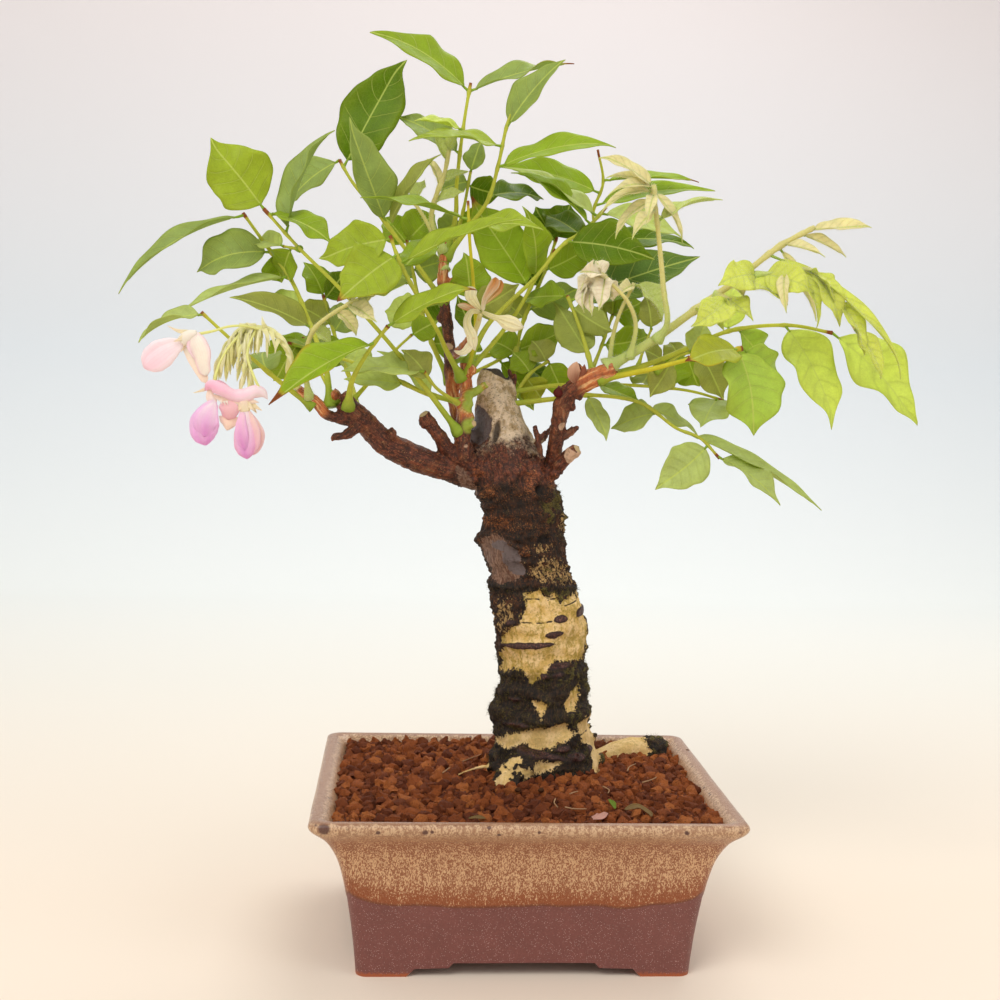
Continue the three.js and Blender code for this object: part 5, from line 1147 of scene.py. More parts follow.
INNER_LEAVES = [
    ("leaf_left_low", (1.3, 0.8, 0.6), [(-84, -6, 236), (-95, 12, 253.9), (-100.7, 16, 264.6)], [
        (0.99, -113, 18, 244, 21, 10, 0.12, 12, "green"), (0.8, -89, 20, 270, 13, 40, 0.1, 15, "blue"),
        (0.55, -108, 24, 258, 14, -20, 0.1, 12, "deep")]),
    ("leaf_left_inner", (1.4, 0.9, 0.6), [(-73, -3, 228), (-80, 20, 248), (-87, 30, 266), (-93, 34, 285)], [
        (0.99, -102, 36, 300, 15, 30, 0.1, 12, "green"), (0.97, -83, 40, 297, 13, -30, 0.1, 14, "deep"),
        (0.8, -105, 38, 280, 15, 20, 0.12, 12, "olive"), (0.75, -80, 40, 281, 15, -15, 0.1, 12, "blue"),
        (0.5, -100, 36, 265, 15, 10, 0.1, 14, "green"), (0.45, -75, 34, 263, 16, 20, 0.1, 12, "pale")]),
    ("leaf_upper_left", (1.4, 0.9, 0.6), [(-34, 22, 246), (-44.9, 34, 270.5), (-51.9, 40, 297.5),
        (-55, 42, 312)], [
        (0.99, -42, 44, 325, 20, 0, 0.1, 12, "green"), (0.97, -66, 44, 323, 18, 25, 0.12, 12, "green"),
        (0.8, -38, 46, 303, 15, -20, 0.1, 14, "blue"), (0.75, -71, 46, 300, 16, 20, 0.1, 14, "blue"),
        (0.55, -35, 44, 284, 15, -10, 0.1, 12, "deep"), (0.5, -65, 44, 279, 17, 10, 0.1, 12, "pale"),
        (0.3, -32, 40, 264, 16, 15, 0.1, 12, "green")]),
    ("leaf_right_upper", (1.4, 0.9, 0.6), [(-6, 21, 240), (-0.8, 38, 272), (10.8, 44, 300.8),
        (15.8, 46, 316)], [
        (0.99, 22, 48, 332, 21, 0, 0.1, 12, "deep"), (0.97, 5, 48, 330, 19, 20, 0.1, 12, "deep"),
        (0.8, 33, 48, 313, 16, -10, 0.1, 14, "green"), (0.7, -2, 50, 304, 17, 20, 0.1, 12, "deep"),
        (0.55, 27, 48, 293, 17, -10, 0.1, 12, "blue"), (0.5, -8, 48, 285, 16, 15, 0.1, 12, "olive"),
        (0.3, 20, 44, 272, 17, -15, 0.1, 12, "green"), (0.28, -15, 42, 266, 17, 20, 0.1, 12, "green")]),
    ("leaf_right_mid", (1.3, 0.8, 0.6), [(27, -2, 250), (34, 18, 262), (41.6, 32, 279.5)], [
        (0.99, 56, 36, 286, 17, -10, 0.1, 12, "green"), (0.97, 41, 38, 293, 15, 10, 0.1, 12, "olive"),
        (0.7, 25, 36, 282, 16, 20, 0.1, 12, "olive"), (0.6, 60, 34, 271, 16, -20, 0.1, 12, "green")]),
    ("leaf_right_low", (1.3, 0.8, 0.6), [(34, -6, 252), (60, 24, 254), (78.6, 34, 261.1)], [
        (0.99, 84, 36, 247, 19, 0, 0.1, 12, "green"), (0.9, 70, 38, 268, 14, 10, 0.1, 12, "olive"),
        (0.6, 57, 36, 248, 15, 0, 0.1, 12, "blue")]),
    ("leaf_behind_stub", (1.2, 0.8, 0.6), [(-6, 21, 238), (3.4, 26, 251.4), (12, 30, 257.3)], [
        (0.99, 20, 34, 241, 14, 0, 0.1, 12, "green"), (0.95, 4, 32, 267, 15, 20, 0.1, 12, "olive"),
        (0.6, -5, 30, 261, 15, 20, 0.1, 12, "green"), (0.5, 9, 30, 240, 14, -10, 0.1, 12, "amber")]),
    ("leaf_top_centre", (1.2, 0.8, 0.6), [(-38, 27, 300), (-30, 38, 322), (-25.8, 44, 345)], [
        (0.99, -21, 46, 360, 10, 20, 0.1, 14, "blue"), (0.9, -40, 46, 336, 14, 30, 0.1, 14, "blue"),
        (0.86, -11, 46, 335, 15, -20, 0.1, 14, "deep"), (0.6, -20, 46, 318, 14, 10, 0.1, 14, "green"),
        (0.5, -41, 44, 317, 14, -20, 0.1, 14, "blue")]),
    ("leaf_left_tall", (0.8, 0.6, 0.5), [(-101, -6, 302), (-105, 1, 303), (-109, 6, 304)], [
        (0.6, -110, 20, 291, 15, 25, 0.1, 12, "green"), (0.99, -124, 20, 307, 11, 40, 0.1, 14, "pale")]),
    ("young_shoot_right", (0.8, 0.6, 0.5), [(96, -16, 296), (106, -24, 297), (118, -27, 298),
        (127, -28, 290), (137, -28, 275), (147, -27, 262)], [
        (0.02, 78, -27, 291, 15, 12, 0.1, 6, "fresh"), (0.06, 119, -32, 289, 15, 12, 0.12, 8, "fresh"),
        (0.36, 131, -30, 274, 11, 15, 0.14, 22, "fresh"), (0.34, 127, -33, 284, 9, 60, 0.14, 25, "fresh"),
        (0.6, 142, -31, 262, 10, 30, 0.1, 25, "fresh"), (0.8, 151, -29, 252, 8, 20, 0.1, 25, "fresh"),
        (0.2, 107, -32, 279, 5, 30, 0.12, 30, "cream"), (0.3, 121, -33, 273, 6, 30, 0.1, 30, "fresh")]),
    ("young_shoot_right", (1.2, 0.8, 0.6), [(80, -12, 287), (84, -15, 286), (86, -17, 285)], [
        (0.9, 68, -26, 272, 14, 20, 0.1, 14, "fresh"), (0.5, 95, -24, 276, 9, 40, 0.1, 20, "fresh")]),
    ("young_leaf_crumpled", (0.5, 0.4, 0.3), [(24, -18, 294), (24, -20, 291), (25, -21, 288)], [
        (0.1, 19, -23, 284, 5, 30, 0.2, 25, "blush"), (0.3, 31, -24, 285, 5, -20, 0.2, 25, "blush"),
        (0.6, 21, -26, 277, 5, 60, 0.2, 25, "blush"), (0.8, 29, -27, 279, 5, 10, 0.2, 25, "blush"),
        (0.2, 31, -22, 293, 4, 50, 0.2, 25, "blush"), (0.9, 25, -25, 276, 5, -30, 0.2, 25, "blush")]),
    ("leaf_top_centre", (0.8, 0.6, 0.5), [(-21, 20, 261), (-24, 26, 274), (-25, 28, 285)], [
        (0.97, -28, 26, 306, 19, 10, 0.08, 10, "green"), (0.75, -3, 24, 292, 16, -10, 0.1, 12, "olive"),
        (0.35, -32, 24, 286, 11, 20, 0.08, 10, "deep")]),
    ("leaf_right_wide", (0.8, 0.6, 0.5), [(57, -2, 253), (69, 4, 261), (78, 6, 263)], [
        (0.99, 89, 4, 241, 16, 10, 0.1, 10, "olive"), (0.8, 80, 6, 277, 13, -10, 0.1, 12, "under"),
        (0.4, 55, 4, 242, 13, 10, 0.1, 12, "olive")]),
    ("leaf_right_high", (0.8, 0.6, 0.5), [(51, 14, 254), (55, 18, 266), (58, 20, 273)], [
        (0.99, 55, 22, 289, 12, 10, 0.1, 12, "olive"), (0.5, 64, 22, 259, 13, 30, 0.1, 12, "olive")]),
    ("leaf_left_front", (1.2, 0.8, 0.6), [(-29, 7, 236), (-40.9, -8, 243.7), (-46.3, -14, 250.5)], [
        (0.99, -82, -14, 250, 19, 60, 0.06, 10, "pale"), (0.85, -56, -12, 260, 13, 30, 0.1, 12, "olive")]),
]
TONES = {
    "lime": paint(174, 192, 54), "bright": paint(166, 192, 46), "green": paint(158, 182, 46),
    "deep": paint(106, 137, 9), "blue": paint(164, 182, 100), "olive": paint(176, 180, 92),
    "pale": paint(208, 220, 128), "cream": paint(250, 240, 188), "amber": paint(186, 192, 58),
    "lit": paint(188, 212, 88), "sunlit": paint(222, 234, 112), "under": paint(198, 210, 130),
    "shade": paint(108, 138, 60), "fresh": paint(228, 236, 104), "blush": paint(255, 242, 222),
}
STALK_GREEN, STALK_YELLOW, STALK_BASE = paint(208, 210, 86), paint(216, 208, 60), paint(162, 190, 66)
YOUNG_STALK, YOUNG_FOOT = paint(226, 218, 142), paint(206, 224, 130)
YELLOW_STALKS = {"leaf_right_yellow", "leaf_yellow_stalk"}
CRINKLED = {
    "leaf_right_wide": 2.2, "leaf_right_yellow": 1.9, "leaf_left_low": 1.8, "leaf_left_tall": 2.2,
    "leaf_top_left": 2.2, "young_shoot_right": 1.9, "young_leaf_crumpled": 3, "leaf_front_fan": 1.4,
}
DRY_TIPS = {("leaf_left_front", 0): 1.8, ("leaf_front_fan", 0): 1, ("leaf_right_inner", 0): 1,
            ("leaf_behind_stub", 0): 1, ("leaf_right_yellow", 0): 1.3, ("leaf_top_left", 1): 1,
            ("leaf_left_front", 1): 1, ("leaf_right_high", 1): 1}
BLADE_THICK = 0.3
STALKLET_SHARE = 0.07
VEIN_PAIRS = 7
BOX_LOW, BOX_HIGH = (np.array(c) for c in cad_box)


def half_width(u, width):
    """Half the width of a leaflet along its midrib: a round base and a drawn-out tip."""
    s = np.clip((u - STALKLET_SHARE) / (1 - STALKLET_SHARE), 0, 1)
    oval = np.sin(np.pi * s ** 0.72) ** 0.8
    near_tip = np.clip((s - 0.72) / 0.2, 0, 1)
    drawn_out = 1 - 0.42 * near_tip ** 2 * (3 - 2 * near_tip)
    return 0.5 * width * oval * (1 - 0.3 * s ** 4) * drawn_out + 0.05


def doubled(values):
    """Values of a blade's upper side and the same for its under side, which runs back the other way."""
    return np.concatenate([values, values[:, ::-1]], axis=1)


def blade_faces(rows, columns):
    """Faces of a thin blade: rings of its upper and under points, and a row of quads that shuts each end."""
    ring = 2 * (columns + 1)
    faces = wall_faces(rows + 1, ring)
    for row in (0, rows):
        start = row * ring
        for k in range(columns):
            quad = [start + k, start + k + 1, start + ring - 2 - k, start + ring - 1 - k]
            faces.append(quad if row else quad[::-1])
    return faces


def stalk(skin, route, radii, sides, step, tint, dry=0.0):
    """A stalk with the marks that the leaf finish reads: it is no blade and has no veins."""
    tube(skin, route, radii, sides, step, tint=tint, along=0.0, across=0.0, half_mm=0.0, below=0.0,
         dry=dry, blade=0.0)


def leaflet(skin, base, tip, width, roll, arch, fold, tone, seed, dry, crinkle):
    """One leaflet from a point of the stalk to its tip, turned by roll, arched, folded and waved."""
    random = np.random.default_rng(seed)
    rows, columns = (32, 12) if width > 10 else (24, 8)
    base, tip = np.asarray(base, float), np.asarray(tip, float)
    length = np.linalg.norm(tip - base)
    along = (tip - base) / length
    face = unit(np.array([0, -1, 0]) + along * along[1])
    rise = np.cross(along, face)
    rise = -rise if rise[2] < 0 else rise
    angle = math.radians(roll)
    normal = face * math.cos(angle) + rise * math.sin(angle)
    side = np.cross(along, normal)
    u = STALKLET_SHARE * 0.8 + (1 - STALKLET_SHARE * 0.8) * np.linspace(0, 1, rows + 1) ** 1.08
    v = np.linspace(-1, 1, columns + 1)
    u, v = u[:, None], v[None, :]
    half = half_width(u, width)
    up = unit(normal - along * (4 * arch * (1 - 2 * u)))
    bow = 4 * arch * length * u * (1 - u)
    phase = random.uniform(0, 6, 4)
    hooked = np.clip((u - 0.78) / 0.22, 0, 1) ** 2
    swing = length * (0.04 * np.sin(math.pi * u) * random.uniform(-1, 1)
                      + 0.05 * hooked * random.uniform(-1, 1))
    reach = np.abs(v) ** 1.3
    wave = crinkle * (0.09 * v * np.sin(9 * u + phase[0])
                      + 0.08 * v ** 2 * np.sin(15 * u + phase[1] + 2 * np.sign(v)))
    twist = math.radians(random.uniform(-14, 14)) * (u - 0.4) * v
    vein = u - 0.16 * np.abs(v) ** 1.25
    quilt = 0.1 * np.cos(2 * math.pi * VEIN_PAIRS * vein) * np.abs(v) * (1 - np.abs(v)) * 4
    channel = -0.35 * np.exp(-(v * half / 0.7) ** 2) * (half > 1)
    height = (math.tan(math.radians(fold)) * reach + wave + twist) * half + quilt * (width > 10) + channel
    height = height - 0.04 * length * hooked * random.uniform(0, 1)
    if crinkle > 1.5:
        height = height + 0.2 * half * np.sin(6 * u + phase[2]) * v
    ragged = 1 + 0.05 * min(crinkle, 2.2) ** 0.5 * np.sin(14 * u + phase[3] + 2 * np.sign(v))
    ragged = ragged + 0.022 * np.sin(31 * u - phase[1] + 3 * np.sign(v)) * np.clip(4 * u, 0, 1)
    up = up[:, None]
    top = (base + (u * length)[..., None] * along + bow[..., None] * normal
           + (half * v * ragged + swing)[..., None] * side + height[..., None] * up)
    under = top - BLADE_THICK * up
    below = np.tile(np.repeat([0.0, 1.0], columns + 1), rows + 1)
    edge_dry = dry * (np.clip((u - 0.84) / 0.14, 0, 1) + 0.3 * (np.abs(v) > 0.9) * (u > 0.5))
    marks = {mark: doubled(np.broadcast_to(value, (rows + 1, columns + 1))).ravel() for mark, value in (
        ("along", u), ("across", v), ("half_mm", half), ("dry", edge_dry))}
    skin.add(np.concatenate([top, under[:, ::-1]], axis=1), blade_faces(rows, columns), tint=TONES[tone],
             below=below, blade=1.0, **marks)
    stalklet = [base, base + along * length * STALKLET_SHARE * 0.5 + normal * bow[1, 0] * 0.3,
                top[1, columns // 2] - up[1, 0] * 0.15]
    stalk(skin, stalklet, (0.75, 0.6, 0.45), 8, 0.8, STALK_BASE)


def stalk_and_leaflets(skin, name, radii, route, blades, seed):
    """One compound leaf: its stalk, swollen at the base and at each pair, brown where its end was lost."""
    steps = max(3, round(curve_through(route)[1][-1] / 2))
    share = np.linspace(0, 1, steps + 1)
    swell = 1 + 1.2 * np.exp(-(share * steps * 2 / 4) ** 2)
    radius = np.interp(share, np.linspace(0, 1, len(radii)), radii) * 0.98
    for t, *_ in blades:
        swell = swell + 0.35 * np.exp(-(((share - t) * steps * 2) / 1.6) ** 2)
    young = name.startswith("young")
    colour = YOUNG_STALK if young else STALK_YELLOW if name in YELLOW_STALKS else STALK_GREEN
    foot = np.array(YOUNG_FOOT if young else STALK_BASE)
    colours = foot + (np.array(colour) - foot) * np.clip(share * (2 if young else 5), 0, 1)[:, None]
    lost = 0.9 * np.clip((share - 0.96) / 0.02, 0, 1) * (not young)
    stalk(skin, route, radius * swell, 10, 2, colours, lost)
    places = points_along(route, [b[0] for b in blades])
    for k, (t, x, y, z, width, roll, arch, fold, tone) in enumerate(blades):
        leaflet(skin, places[k], (x, y, z), width, roll, arch, fold, tone, seed + k,
                DRY_TIPS.get((name, k), 0), CRINKLED.get(name, 1.6 if young else 1.4))


def compound_leaf(name, order, material):
    """The mesh piece of one node of leaves, from its row in the list and the inner leaves that go with it."""
    skin = Skin()
    stalk_and_leaflets(skin, name, *LEAVES[name], order * 20 + 1)
    for k, (with_node, radii, route, blades) in enumerate(INNER_LEAVES):
        if with_node == name:
            kind = name if name.startswith("young") else "inner"
            stalk_and_leaflets(skin, kind, radii, route, blades, 600 + 20 * k)
    low, high = ((c - np.array(POT_MIDDLE)) / MM for c in (BOX_LOW, BOX_HIGH))
    skin.points = [np.clip(points, low, high) for points in skin.points]
    return skin.piece(name + "_grown", material)


def let_light_through(made, colour, share):
    """Adds light that comes through a thin leaf or petal, in its own colour."""
    tree = made.node_tree
    through = colour.node("BsdfTranslucent", {"Color": colour})
    shader = Dye(tree, tree.nodes["Principled BSDF"].outputs[0])
    both = colour.node("MixShader", {0: share, 1: shader, 2: through})
    output = next(n for n in tree.nodes if n.type == "OUTPUT_MATERIAL")
    tree.links.new(both.socket, output.inputs[0])


def leaf_finish(name, hairy):
    """The finish of a leaf: green from its mark, mottled, with pale veins and a matt underside."""
    made, dye, join = finish(name, specular_ior_level=0.2)
    tint = dye.mark("tint", out=0)
    u, v, half = dye.mark("along"), dye.mark("across"), dye.mark("half_mm")
    blade, below = dye.mark("blade"), dye.mark("below")
    reach = dye.sum("ABSOLUTE", v)
    lean = dye.sum("POWER", reach, 1.25)
    course = dye.sum("FRACT", (u - 0.16 * lean + 0.03 * (dye.cloud(9) - 0.5)) * VEIN_PAIRS)
    near = dye.sum("ABSOLUTE", course - 0.5)
    side_vein = near.step(0.452, 0.492) * blade * reach.step(0.98, 0.7)
    rib = (reach * half).step(0.5, 0.22) * blade
    net = dye.cells(1.5, feature="DISTANCE_TO_EDGE").step(0.1, 0.02) * blade
    mottle = dye.cloud(7, 3, 0.6)
    fleck = dye.cloud(0.8, 2, 0.6)
    green = (mottle + 0.5 * (fleck - 0.5)).shade(tint, 0.76, 1.24)
    green = (reach.step(0.4, 1.0) * 0.15).mix(green, GOLD_GREEN)
    # Painted shade: a mild darkening in a band along each side vein, for the shade of the sunken veins.
    green = (near.step(0.25, 0.45) * blade * 0.1 * reach.step(1.0, 0.6)).shade(green, 1, 0.55)
    green = (side_vein * 0.42).mix(green, VEIN_GREEN)
    green = (net * 0.07).mix(green, VEIN_GREEN)
    green = (rib * 0.7).mix(green, VEIN_GREEN)
    green = (below * 0.3).mix(green, UNDER_GREEN)
    if hairy:
        silk = dye.cloud(0.3, 2, 0.7, stretch=(1, 1, 0.4)).step(0.4, 0.8)
        green = (silk * 0.25).mix(green, SILK)
    fading = dye.mark("dry") + 0.5 * (mottle - 0.5) * dye.mark("dry").step(0.0, 0.1)
    green = (fading.step(0.1, 0.5) * 0.55).mix(green, FADED)
    scorched = fading.step(0.5, 0.8)
    green = scorched.mix(green, DRY_BROWN)
    join("Base Color", green)
    join("Roughness", (0.42 if not hairy else 0.7) + 0.25 * below + 0.15 * (fleck - 0.5))
    hollow = 1 - side_vein * 0.7 - rib * 0.3 - net * 0.2 + 0.12 * fleck
    join("Normal", dye.relief(hollow, 0.3, 0.8))
    lit = dye.node("HueSaturation", {"Saturation": 1.15, "Value": 1.25, "Color": green})
    let_light_through(made, lit, 0.25 if hairy else 0.34)
    return made


GOLD_GREEN, FADED = paint(196, 204, 60), paint(208, 176, 52)
VEIN_GREEN, UNDER_GREEN = paint(214, 224, 118), paint(172, 192, 104)
SILK, DRY_BROWN = paint(246, 240, 204), paint(158, 92, 46)
leaf_green = leaf_finish("leaf", hairy=False)
for order, name in enumerate(LEAVES):
    if name.startswith("leaf"):
        grown = compound_leaf(name, order, leaf_green)
        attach(grown, "root")
        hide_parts(name)

# Young shoots: leaves that have only just broken, still folded along the midrib, yellow-green to cream and
# covered in silky white hairs that lie forward. The hairs are real: fine spikes set by a rule.
HAIRS_PER_CM2 = 190
HAIR_LONG, HAIR_WIDE = 1.6, 0.07
young_silk = leaf_finish("young_silk", hairy=True)


def spike():
    """One silky hair as a thin three-sided spike that leans a little."""
    ring = [(HAIR_WIDE / 2 * math.cos(t), HAIR_WIDE / 2 * math.sin(t), 0) for t in (0, 2.09, 4.19)]
    mesh = bpy.data.meshes.new("hair")
    points = np.array([*ring, (0.25 * HAIR_LONG, 0, HAIR_LONG)]) * MM
    mesh.from_pydata(points, [], [(0, 1, 3), (1, 2, 3), (2, 0, 3), (2, 1, 0)])
    return bpy.data.objects.new("hair", mesh)


hair_store = bpy.data.collections.new("hairs")
bpy.context.scene.collection.children.link(hair_store)
hair_store.objects.link(spike())
hair_tree, node, given = scatter_tree("silky hairs", ["Per Area", "Small", "Large", "Lean", "Seed"])
spread = node("GeometryNodeDistributePointsOnFaces", {
    "Mesh": given["Geometry"], "Density": given["Per Area"], "Seed": given["Seed"]},
    distribute_method="RANDOM")
lean = node("FunctionNodeRandomValue", {0: (-0.9, -0.9, -3.1), 1: (0.9, 0.9, 3.1), "Seed": given["Seed"]},
            data_type="FLOAT_VECTOR")
leaned = node("ShaderNodeVectorMath", {0: lean["Value"], "Scale": given["Lean"]}, operation="SCALE")
turned = node("FunctionNodeRotateRotation", {0: spread["Rotation"], 1: leaned[0]}, rotation_space="LOCAL")
sizes_drawn = node("FunctionNodeRandomValue", {2: given["Small"], 3: given["Large"], "Seed": given["Seed"]},
                   data_type="FLOAT")
hair = node("GeometryNodeCollectionInfo", {"Collection": given["Pieces"]})
set_down = node("GeometryNodeInstanceOnPoints", {
    "Points": spread["Points"], "Instance": hair[0], "Rotation": turned[0], "Scale": sizes_drawn[1]})
made_real(node, given, set_down["Instances"])
hair_white, dye, join = finish("silky_hair", specular_ior_level=0.5)
HAIR_WHITE = paint(246, 242, 220)
join("Base Color", dye.cloud(2).shade(HAIR_WHITE, 0.85, 1.05))
join("Roughness", 0.35 + 0.2 * dye.cloud(1))


def silky(name, grown, seed, per_cm2=HAIRS_PER_CM2, small=0.5, large=1.0):
    """A coat of hairs over a grown piece, as a piece of its own that rides with it."""
    coat = worked(name, grown.data.copy(), hair_tree, hair_white, Pieces=hair_store, Lean=1.0, Seed=seed,
                  Small=small, Large=large, **{"Per Area": per_cm2 * 1e4})
    made = settle(name, coat, hair_white)
    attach(made, "root")
    return made


for order, name in enumerate(LEAVES):
    if name.startswith("young"):
        grown = compound_leaf(name, order, young_silk)
        coat = silky(name + "_hairs", grown, order)
        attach(grown, "root")
        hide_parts(name)

# Flowers: the first two have opened at the start of the raceme. A wisteria flower is a pea flower: a cup
# of hairy sepals, a broad standard that folds back, and two wings shut round a pouch-like keel. The petals
# are soft and thin, pale pink to lavender, cream or peach towards the claw, and finely veined.
PETAL_THICK = 0.25
PINK, PINK_DEEP, PINK_PALE = paint(255, 226, 236), paint(255, 206, 228), paint(255, 246, 247)
CREAM, PEACH, LAVENDER = paint(255, 249, 238), paint(255, 236, 218), paint(255, 216, 250)
ORCHID, DUSTY_ROSE, SEPAL = paint(242, 174, 232), paint(250, 210, 214), paint(252, 244, 206)


def petal(skin, route, widths, colours, facing=(0, -1, 0), cup=0.0, puff=0.0, wave=0.0, crease=None, seed=0):
    """A petal along a route, broad by its widths: a thin sheet, or with puff a closed pouch.

    The colours are those of its base, its tip and its edge. A crease is its place across and its depth."""
    random = np.random.default_rng(seed)
    length = curve_through(route)[1][-1]
    rows, columns = max(10, round(length / 0.55)), 12 if max(widths) > 3 else 6
    share = np.linspace(0, 1, rows + 1)
    centre = points_along(route, share)
    half = np.interp(share, np.linspace(0, 1, len(widths)), widths) / 2
    half = np.convolve(np.pad(half, 2, mode="edge"), [0.1, 0.2, 0.4, 0.2, 0.1], mode="valid")
    half = half * np.sqrt(np.clip(share / 0.06, 0.15, 1)) * np.sqrt(np.clip((1 - share) / 0.1, 0.02, 1))
    course = unit(np.gradient(centre, axis=0))
    side = unit(np.cross(course, np.asarray(facing, float)))
    normal = np.cross(side, course)
    u, v = share[:, None], np.linspace(-1, 1, columns + 1)[None, :]
    phase = random.uniform(0, 6, 3)
    h = half[:, None]
    flutter = wave * h * (np.sin(7 * u + phase[0]) * v
                          + 0.6 * np.sin(13 * u + phase[1]) * v ** 2 * np.sign(v))
    lift = cup * h * v ** 2 + flutter
    swell = PETAL_THICK / 2 + puff * h * np.sqrt(np.clip(1 - v ** 2, 0, 1))
    groove = np.zeros_like(swell)
    if crease:
        groove = crease[1] * h * np.exp(-((v - crease[0]) / 0.14) ** 2) * np.sin(math.pi * u) ** 0.5
    place = centre[:, None] + (h * v)[..., None] * side[:, None]
    top = place + (lift + swell - groove)[..., None] * normal[:, None]
    under = place + (lift - swell)[..., None] * normal[:, None]
    base, tip, edge = (np.asarray(c) for c in colours)
    blush = (u + 0.1 * np.sin(5 * v + phase[2])) * np.ones_like(v)
    rim = np.clip((np.abs(v) - 0.55) / 0.45, 0, 1) * np.ones_like(u)
    tint = base + (tip - base) * np.clip(blush, 0, 1)[..., None]
    tint = tint + (edge - tint) * (rim * 0.8)[..., None]
    skin.add(np.concatenate([top, under[:, ::-1]], axis=1), blade_faces(rows, columns),
             tint=doubled(tint).reshape(-1, 3), across=doubled(v * np.ones_like(u)).ravel(), silk=0.0)


def stem(skin, route, radii, sides, step, tint, silk=0.0):
    """A stem with the marks that the petals' finish reads, silky by a share."""
    tube(skin, route, radii, sides, step, tint=tint, across=0.0, silk=silk)


petal_soft, dye, join = finish("petal", specular_ior_level=0.3)
tint = dye.mark("tint", out=0)
fine_veins = dye.sum("SINE", dye.mark("across") * 26 + 3 * (dye.cloud(5) - 0.5)).step(0.5, 1.0)
bloom = dye.cloud(2.5, 3, 0.6)
flesh = (bloom + 0.3 * (dye.cloud(0.6) - 0.5)).shade(tint, 0.95, 1.1)
flesh = (fine_veins * 0.12).mix(flesh, DUSTY_ROSE)
silk = dye.mark("silk") * dye.cloud(0.35, 2, 0.7, stretch=(1, 1, 0.3)).step(0.45, 0.7)
flesh = (silk * 0.5).mix(flesh, SILK)
join("Base Color", flesh)
join("Roughness", 0.48 + 0.25 * dye.cloud(1.2))
join("Normal", dye.relief(fine_veins * 0.4 + bloom * 0.6, 0.12, 0.7))
let_light_through(petal_soft, flesh, 0.38)


def sepal(skin, route, width, colours=(SEPAL, PEACH, SEPAL), **form):
    petal(skin, route, (width, width * 0.8, width * 0.4, 0.2), colours, **form)


def flower_part(name, node, skin, material=petal_soft):
    made = skin.piece(name, material)
    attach(made, "root")
    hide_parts(node)
    return made


upper = Skin()
stem(upper, [(-140.2, -37.3, 263.6), (-143.4, -37.2, 262.4), (-146.6, -37, 259.8)],
     (1.3, 2.3, 2.7, 2.2), 14, 0.6, CREAM, 0.2)
sepal(upper, [(-143.5, -37.6, 263.8), (-147.9, -37.6, 264.3), (-152.5, -37, 266.4)], 2.2)
sepal(upper, [(-144.5, -39, 262), (-147.5, -39.5, 260.5), (-149.5, -39.3, 259.8)], 2.4)
sepal(upper, [(-144.5, -35, 262), (-147.5, -34.6, 261), (-149.5, -34.6, 260.5)], 2.4)
sepal(upper, [(-144.8, -37, 259.6), (-146, -37.5, 257.4), (-146.4, -38, 255.6)], 2.2)
petal(upper, [(-142.6, -38, 263.6), (-139.9, -39.6, 259.2), (-138.1, -39.6, 254.9), (-137.4, -39, 250.5),
              (-136.2, -38.6, 246.1)], (4.6, 8, 8.2, 5.8, 4.4), (CREAM, CREAM, PINK), cup=-0.3,
      wave=0.06, seed=3)
petal(upper, [(-140.8, -38.4, 263), (-142, -38.6, 259), (-140.5, -38.4, 253)], (2, 4.5, 1.5),
      (PINK, PINK_PALE, PINK), cup=0.25, seed=13)
petal(upper, [(-145.8, -36.4, 258.2), (-142.5, -37, 253), (-138.8, -37.6, 248.3), (-136.1, -38, 243.2)],
      (1.6, 3.2, 4.6, 3.0), (CREAM, PEACH, PEACH), cup=0.2, wave=0.05, seed=4)
petal(upper, [(-145.5, -37, 259.6), (-150, -37.4, 257.6), (-154.4, -37.4, 254.8), (-158.8, -37.3, 251.2),
              (-161.6, -37.2, 248.6)], (2.6, 8.6, 12.2, 11.6, 5.6), (PINK_PALE, PINK, PINK_PALE),
      puff=0.34, cup=0.1, crease=(0.45, 0.16), seed=5)
flower_part("upper_flower_petals", "flower_upper", upper)

lower = Skin()
petal(lower, [(-136.6, -39, 240.2), (-134.2, -41.5, 242), (-129.5, -42.5, 240.8), (-124.4, -41.4, 238.4),
              (-119.9, -41, 238.7), (-116.2, -40.5, 240.2), (-112.8, -39.4, 239.4), (-110.8, -38.6, 237)],
      (1.6, 5.4, 5.2, 4.8, 5.6, 5.4, 5.2, 1.0), (PINK_DEEP, PINK_PALE, PINK), cup=-0.5, wave=0.1, seed=7)
petal(lower, [(-135.4, -38.6, 241), (-131.2, -39.6, 243), (-126, -39.6, 241)], (1.5, 3.4, 1.2),
      (PINK_DEEP, PINK, PINK), cup=0.3, seed=17)
petal(lower, [(-133.4, -39.5, 238.4), (-127.8, -40.2, 236.2), (-122.6, -40.2, 235.9), (-118.2, -39.8, 236.2),
              (-114.4, -39.2, 235.8)], (1.4, 2.4, 2.8, 3, 1), (PEACH, PEACH, PINK_PALE), wave=0.12, seed=8)
petal(lower, [(-134.5, -39, 240.8), (-134.2, -39.6, 237.3), (-132.5, -39.5, 234.4)], (2, 3.8, 3.4),
      (PEACH, PINK_PALE, PEACH), cup=-0.3, seed=9)
petal(lower, [(-126.4, -39.4, 237), (-126.3, -41, 232.6), (-126.9, -39.6, 228.4)], (6, 9.6, 7.6, 4.6),
      (DUSTY_ROSE, DUSTY_ROSE, PINK), cup=-0.35, puff=0.12, seed=10)
petal(lower, [(-126.5, -39, 230.2), (-126.8, -39.5, 226.6), (-127.4, -39, 223.9)], (8.8, 7.2, 1.2),
      (PEACH, PEACH, CREAM), cup=-0.3, seed=11)
sepal(lower, [(-135.1, -39, 241.3), (-138.4, -39, 239.9), (-141.4, -39, 239)], 1.8, (PEACH, SEPAL, PEACH))
